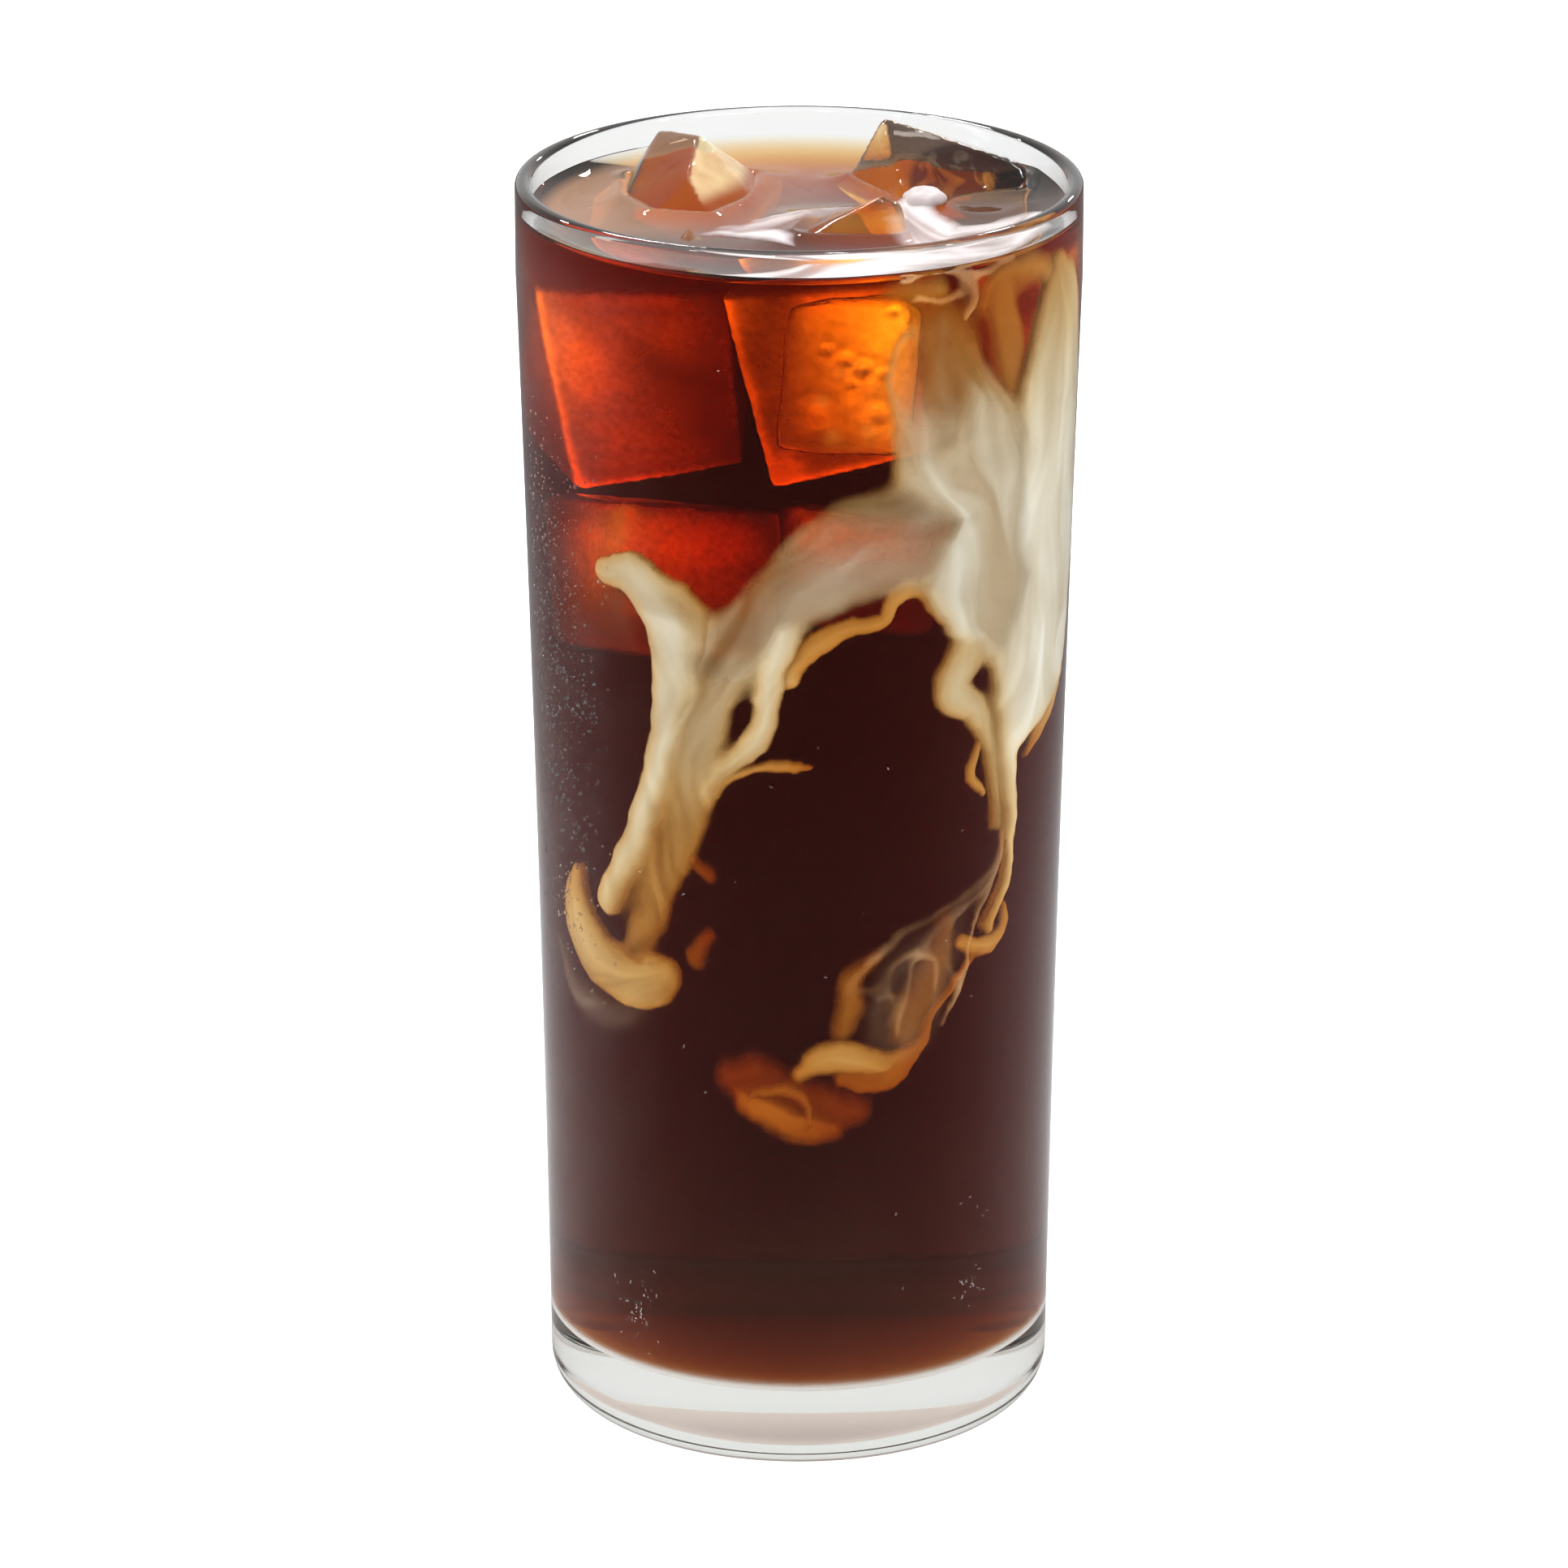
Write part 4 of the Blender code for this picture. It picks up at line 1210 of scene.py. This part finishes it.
# Small lamps for the sharp highlights on ice and rim.
GLINTS = {
    "glint_left": (-0.45, -0.35, 0.75), "glint_back": (0.18, 0.6, 0.62), "glint_right": (0.6, -0.2, 0.7),
    "glint_front": (-0.15, -0.6, 0.8), "glint_behind": (0.35, 0.75, 0.45), "glint_high": (0.1, 0.1, 1.0),
    "glint_side": (-0.6, 0.4, 0.6)}


def round_the_room(n, direction, brightness):
    """The brightness for each direction, by its turn about the glass."""
    flat = n.add("VectorMath", {0: direction, 1: (1, 1, 0)}, operation="MULTIPLY")
    unit = n.add("VectorMath", {0: flat}, operation="NORMALIZE")
    return n.ramp(n.math("ADD", n.times(n.axes(unit)[1], 0.5), 0.5), brightness)


def make_world():
    """A pale room, seen as plain white both directly and through the glass."""
    world = bpy.data.worlds.new("studio")
    bpy.context.scene.world = world
    n = Nodes(world)
    path = n.node("LightPath").outputs
    direction = n.node("TexCoord").outputs["Generated"]
    around = n.blend(path["Is Glossy Ray"], round_the_room(n, direction, LIGHTING),
                     round_the_room(n, direction, MIRRORED))
    overhead = n.ramp(n.axes(direction)[2], [(0.45, 0), (0.8, 1)])
    room = n.add("Background", {"Color": n.blend(overhead, around, (1.15, 1.15, 1.15, 1))})
    white = n.add("Background", {"Color": WHITE})
    seen = n.mix(path["Is Camera Ray"], room, white)
    n.output(n.mix(path["Is Transmission Ray"], seen, white), kind="OutputWorld")


def make_floor():
    """A pale floor, painted darker where it mirrors in the glass or shows through it: painted shade."""
    shape = bmesh.new()
    bmesh.ops.create_grid(shape, x_segments=2, y_segments=2, size=3.0)
    floor = object_of(shape, "floor")
    floor.location.z = FLOOR_DROP
    made, n = new_material("pale_floor")
    place = n.place()
    distance = n.node("VectorMath", {0: place}, operation="LENGTH").outputs["Value"]
    shade = n.ramp(distance, [(.10, 1), (.18, .75), (.26, .42), (.38, .25)])
    around = round_the_room(n, place, MIRRORED)
    mirror = n.emission(n.blend(1.0, around, shade, blend_type="MULTIPLY"))
    # Seen through the glass, it is painted darker near the middle: a painted shadow under the glass.
    under = n.ramp(n.times(distance, 10.0), [(.16, .5), (.27, .7), (.34, 1)])
    lit = n.both(n.diffuse((0.86, 0.86, 0.86, 1)), n.emission(WHITE, 0.42))
    path = n.node("LightPath").outputs
    seen = n.mix(path["Is Glossy Ray"], lit, mirror)
    n.output(n.mix(path["Is Transmission Ray"], seen, n.emission(under)))
    floor.data.materials.append(made)


def add_light(name, place, size, power, mirrored=True, colour=(1, 1, 1)):
    """An area light that faces the glass and isn't seen itself, except mirrored in it."""
    data = bpy.data.lights.new(name, "AREA")
    data.shape = "RECTANGLE"
    data.size, data.size_y = size
    data.energy = power
    data.color = colour
    light = add_object(name, data)
    light.location = place
    aim = Vector(LIGHT_AIM) - Vector(place)
    light.rotation_euler = aim.to_track_quat("-Z", "Y").to_euler()
    light.visible_camera = False
    light.visible_transmission = False
    light.visible_glossy = mirrored
    return light


def light_from_behind(name, place, power, colour, things):
    """A lamp above and behind the glass that shines on these things alone."""
    light = add_light(name, place, (0.35, 0.35), power, False, colour)
    lit = bpy.data.collections.new(name + "_lights")
    for thing in things:
        lit.objects.link(thing)
    light.light_linking.receiver_collection = lit


def make_camera():
    """The photo's viewpoint, 986 mm away and looking 19.33 degrees down."""
    distance, down, aim_height, aside = 0.986, radians(19.33), 0.0758, -0.00175
    data = bpy.data.cameras.new("camera")
    data.sensor_width = 36.0
    data.lens = 191.64
    data.clip_end = 20.0
    camera = add_object("camera", data)
    camera.location = (aside, -distance * cos(down), aim_height + distance * sin(down))
    camera.rotation_euler = (pi / 2 - down, 0, 0)
    bpy.context.scene.camera = camera


def make_studio():
    """Room, floor, lamps and the way light is traced."""
    make_world()
    make_floor()
    add_light("key", (0.55, -0.75, 0.75), (0.5, 0.5), 1.6)
    add_light("top_strip", (-0.25, 0.5, 0.8), (0.3, 0.05), 3.0)
    for name, place in GLINTS.items():
        add_light(name, place, (0.05, 0.05), 0.9)
    add_light("left_strip", (-0.8, -0.1, 0.35), (0.12, 0.6), 1.5)
    scene = bpy.context.scene
    scene.view_settings.view_transform = "Standard"
    scene.cycles.max_bounces = 24
    scene.cycles.transmission_bounces = 20
    scene.cycles.transparent_max_bounces = 24
    scene.cycles.glossy_bounces = 8


# ---------------------------------------------------------------- all together
def finish_piece(piece, material, node=None):
    """Dresses a piece and says what it rides on."""
    piece.data.materials.clear()
    piece.data.materials.append(material)
    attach(piece, "root")
    if node:
        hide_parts(node)


make_camera()
make_studio()

tumbler = make_glass()
cubes = [make_ice(name, cube["corners"], cube["hollows"]) for name, cube in ICE.items()]
sunk = [make_sunk(name, *values) for name, values in SUNK_ICE.items()]
coffee = make_coffee(cubes, sunk)
plume_field = milk_field(PLUME, 11)
plume = milk_sheet("milk_plume", plume_field, .7)
skin = milk_sheet("milk_skin", plume_field, -.25, thinning=.9)
deep = milk_sheet("milk_deep", milk_field(DEEP, 23))
puffs = milk_sheet("milk_puffs", milk_field(PUFFS, 37))
smoke = milk_sheet("milk_smoke", milk_field(SMOKE, 43), thinning=.7)
threads = milk_sheet("milk_threads", milk_field(THREADS, 47), thinning=.7)
film = film_sheet("milk_film", FILM, 51, cubes)
drop = make_drop(cubes)
beads = make_beads()
scuffs = make_scuffs()

light_from_behind("into_the_ice", (0.05, 0.32, 0.85), 130.0, (.72, 1.0, .36), cubes + sunk[:2])
light_from_behind("into_the_chip", (0.05, 0.32, 0.85), 112.0, (.48, .92, 2.2), sunk[2:])
light_from_behind("into_the_low_ice", (0.0, 0.3, 0.86), 420.0, (.5, 1.0, .3), sunk[:2])

clear_ice = ice_material("wet_ice", 0.02, ICE_IOR)
cloudy_ice = ice_material("sunk_ice", 0.1, SUNK_IOR)
milk = milk_material("milk_in_coffee", (0.57, 0.55, 0.51), (0.70, 0.72, 0.72))
finish_piece(tumbler, glass_material(), "glass")
finish_piece(coffee, coffee_material(), "coffee")
for cube, node in zip(cubes, ICE):
    finish_piece(cube, clear_ice, node)
for cube in sunk:
    finish_piece(cube, cloudy_ice)
finish_piece(plume, milk, "milk_swirl")
for piece in (skin, deep, puffs):
    finish_piece(piece, milk)
thin_milk = milk_material("thin_milk", (0.80, 0.62, 0.60), (0.90, 0.78, 0.78))
finish_piece(smoke, thin_milk)
finish_piece(threads, thin_milk)
finish_piece(beads, water_material())
finish_piece(scuffs, scuff_material())
floating = milk_material("milk_on_coffee", (0.50, 0.42, 0.40), (0.72, 0.68, 0.69))
finish_piece(film, floating)
finish_piece(drop, milk_material("milk_drop", (0.44, 0.38, 0.37), (0.56, 0.51, 0.51)))
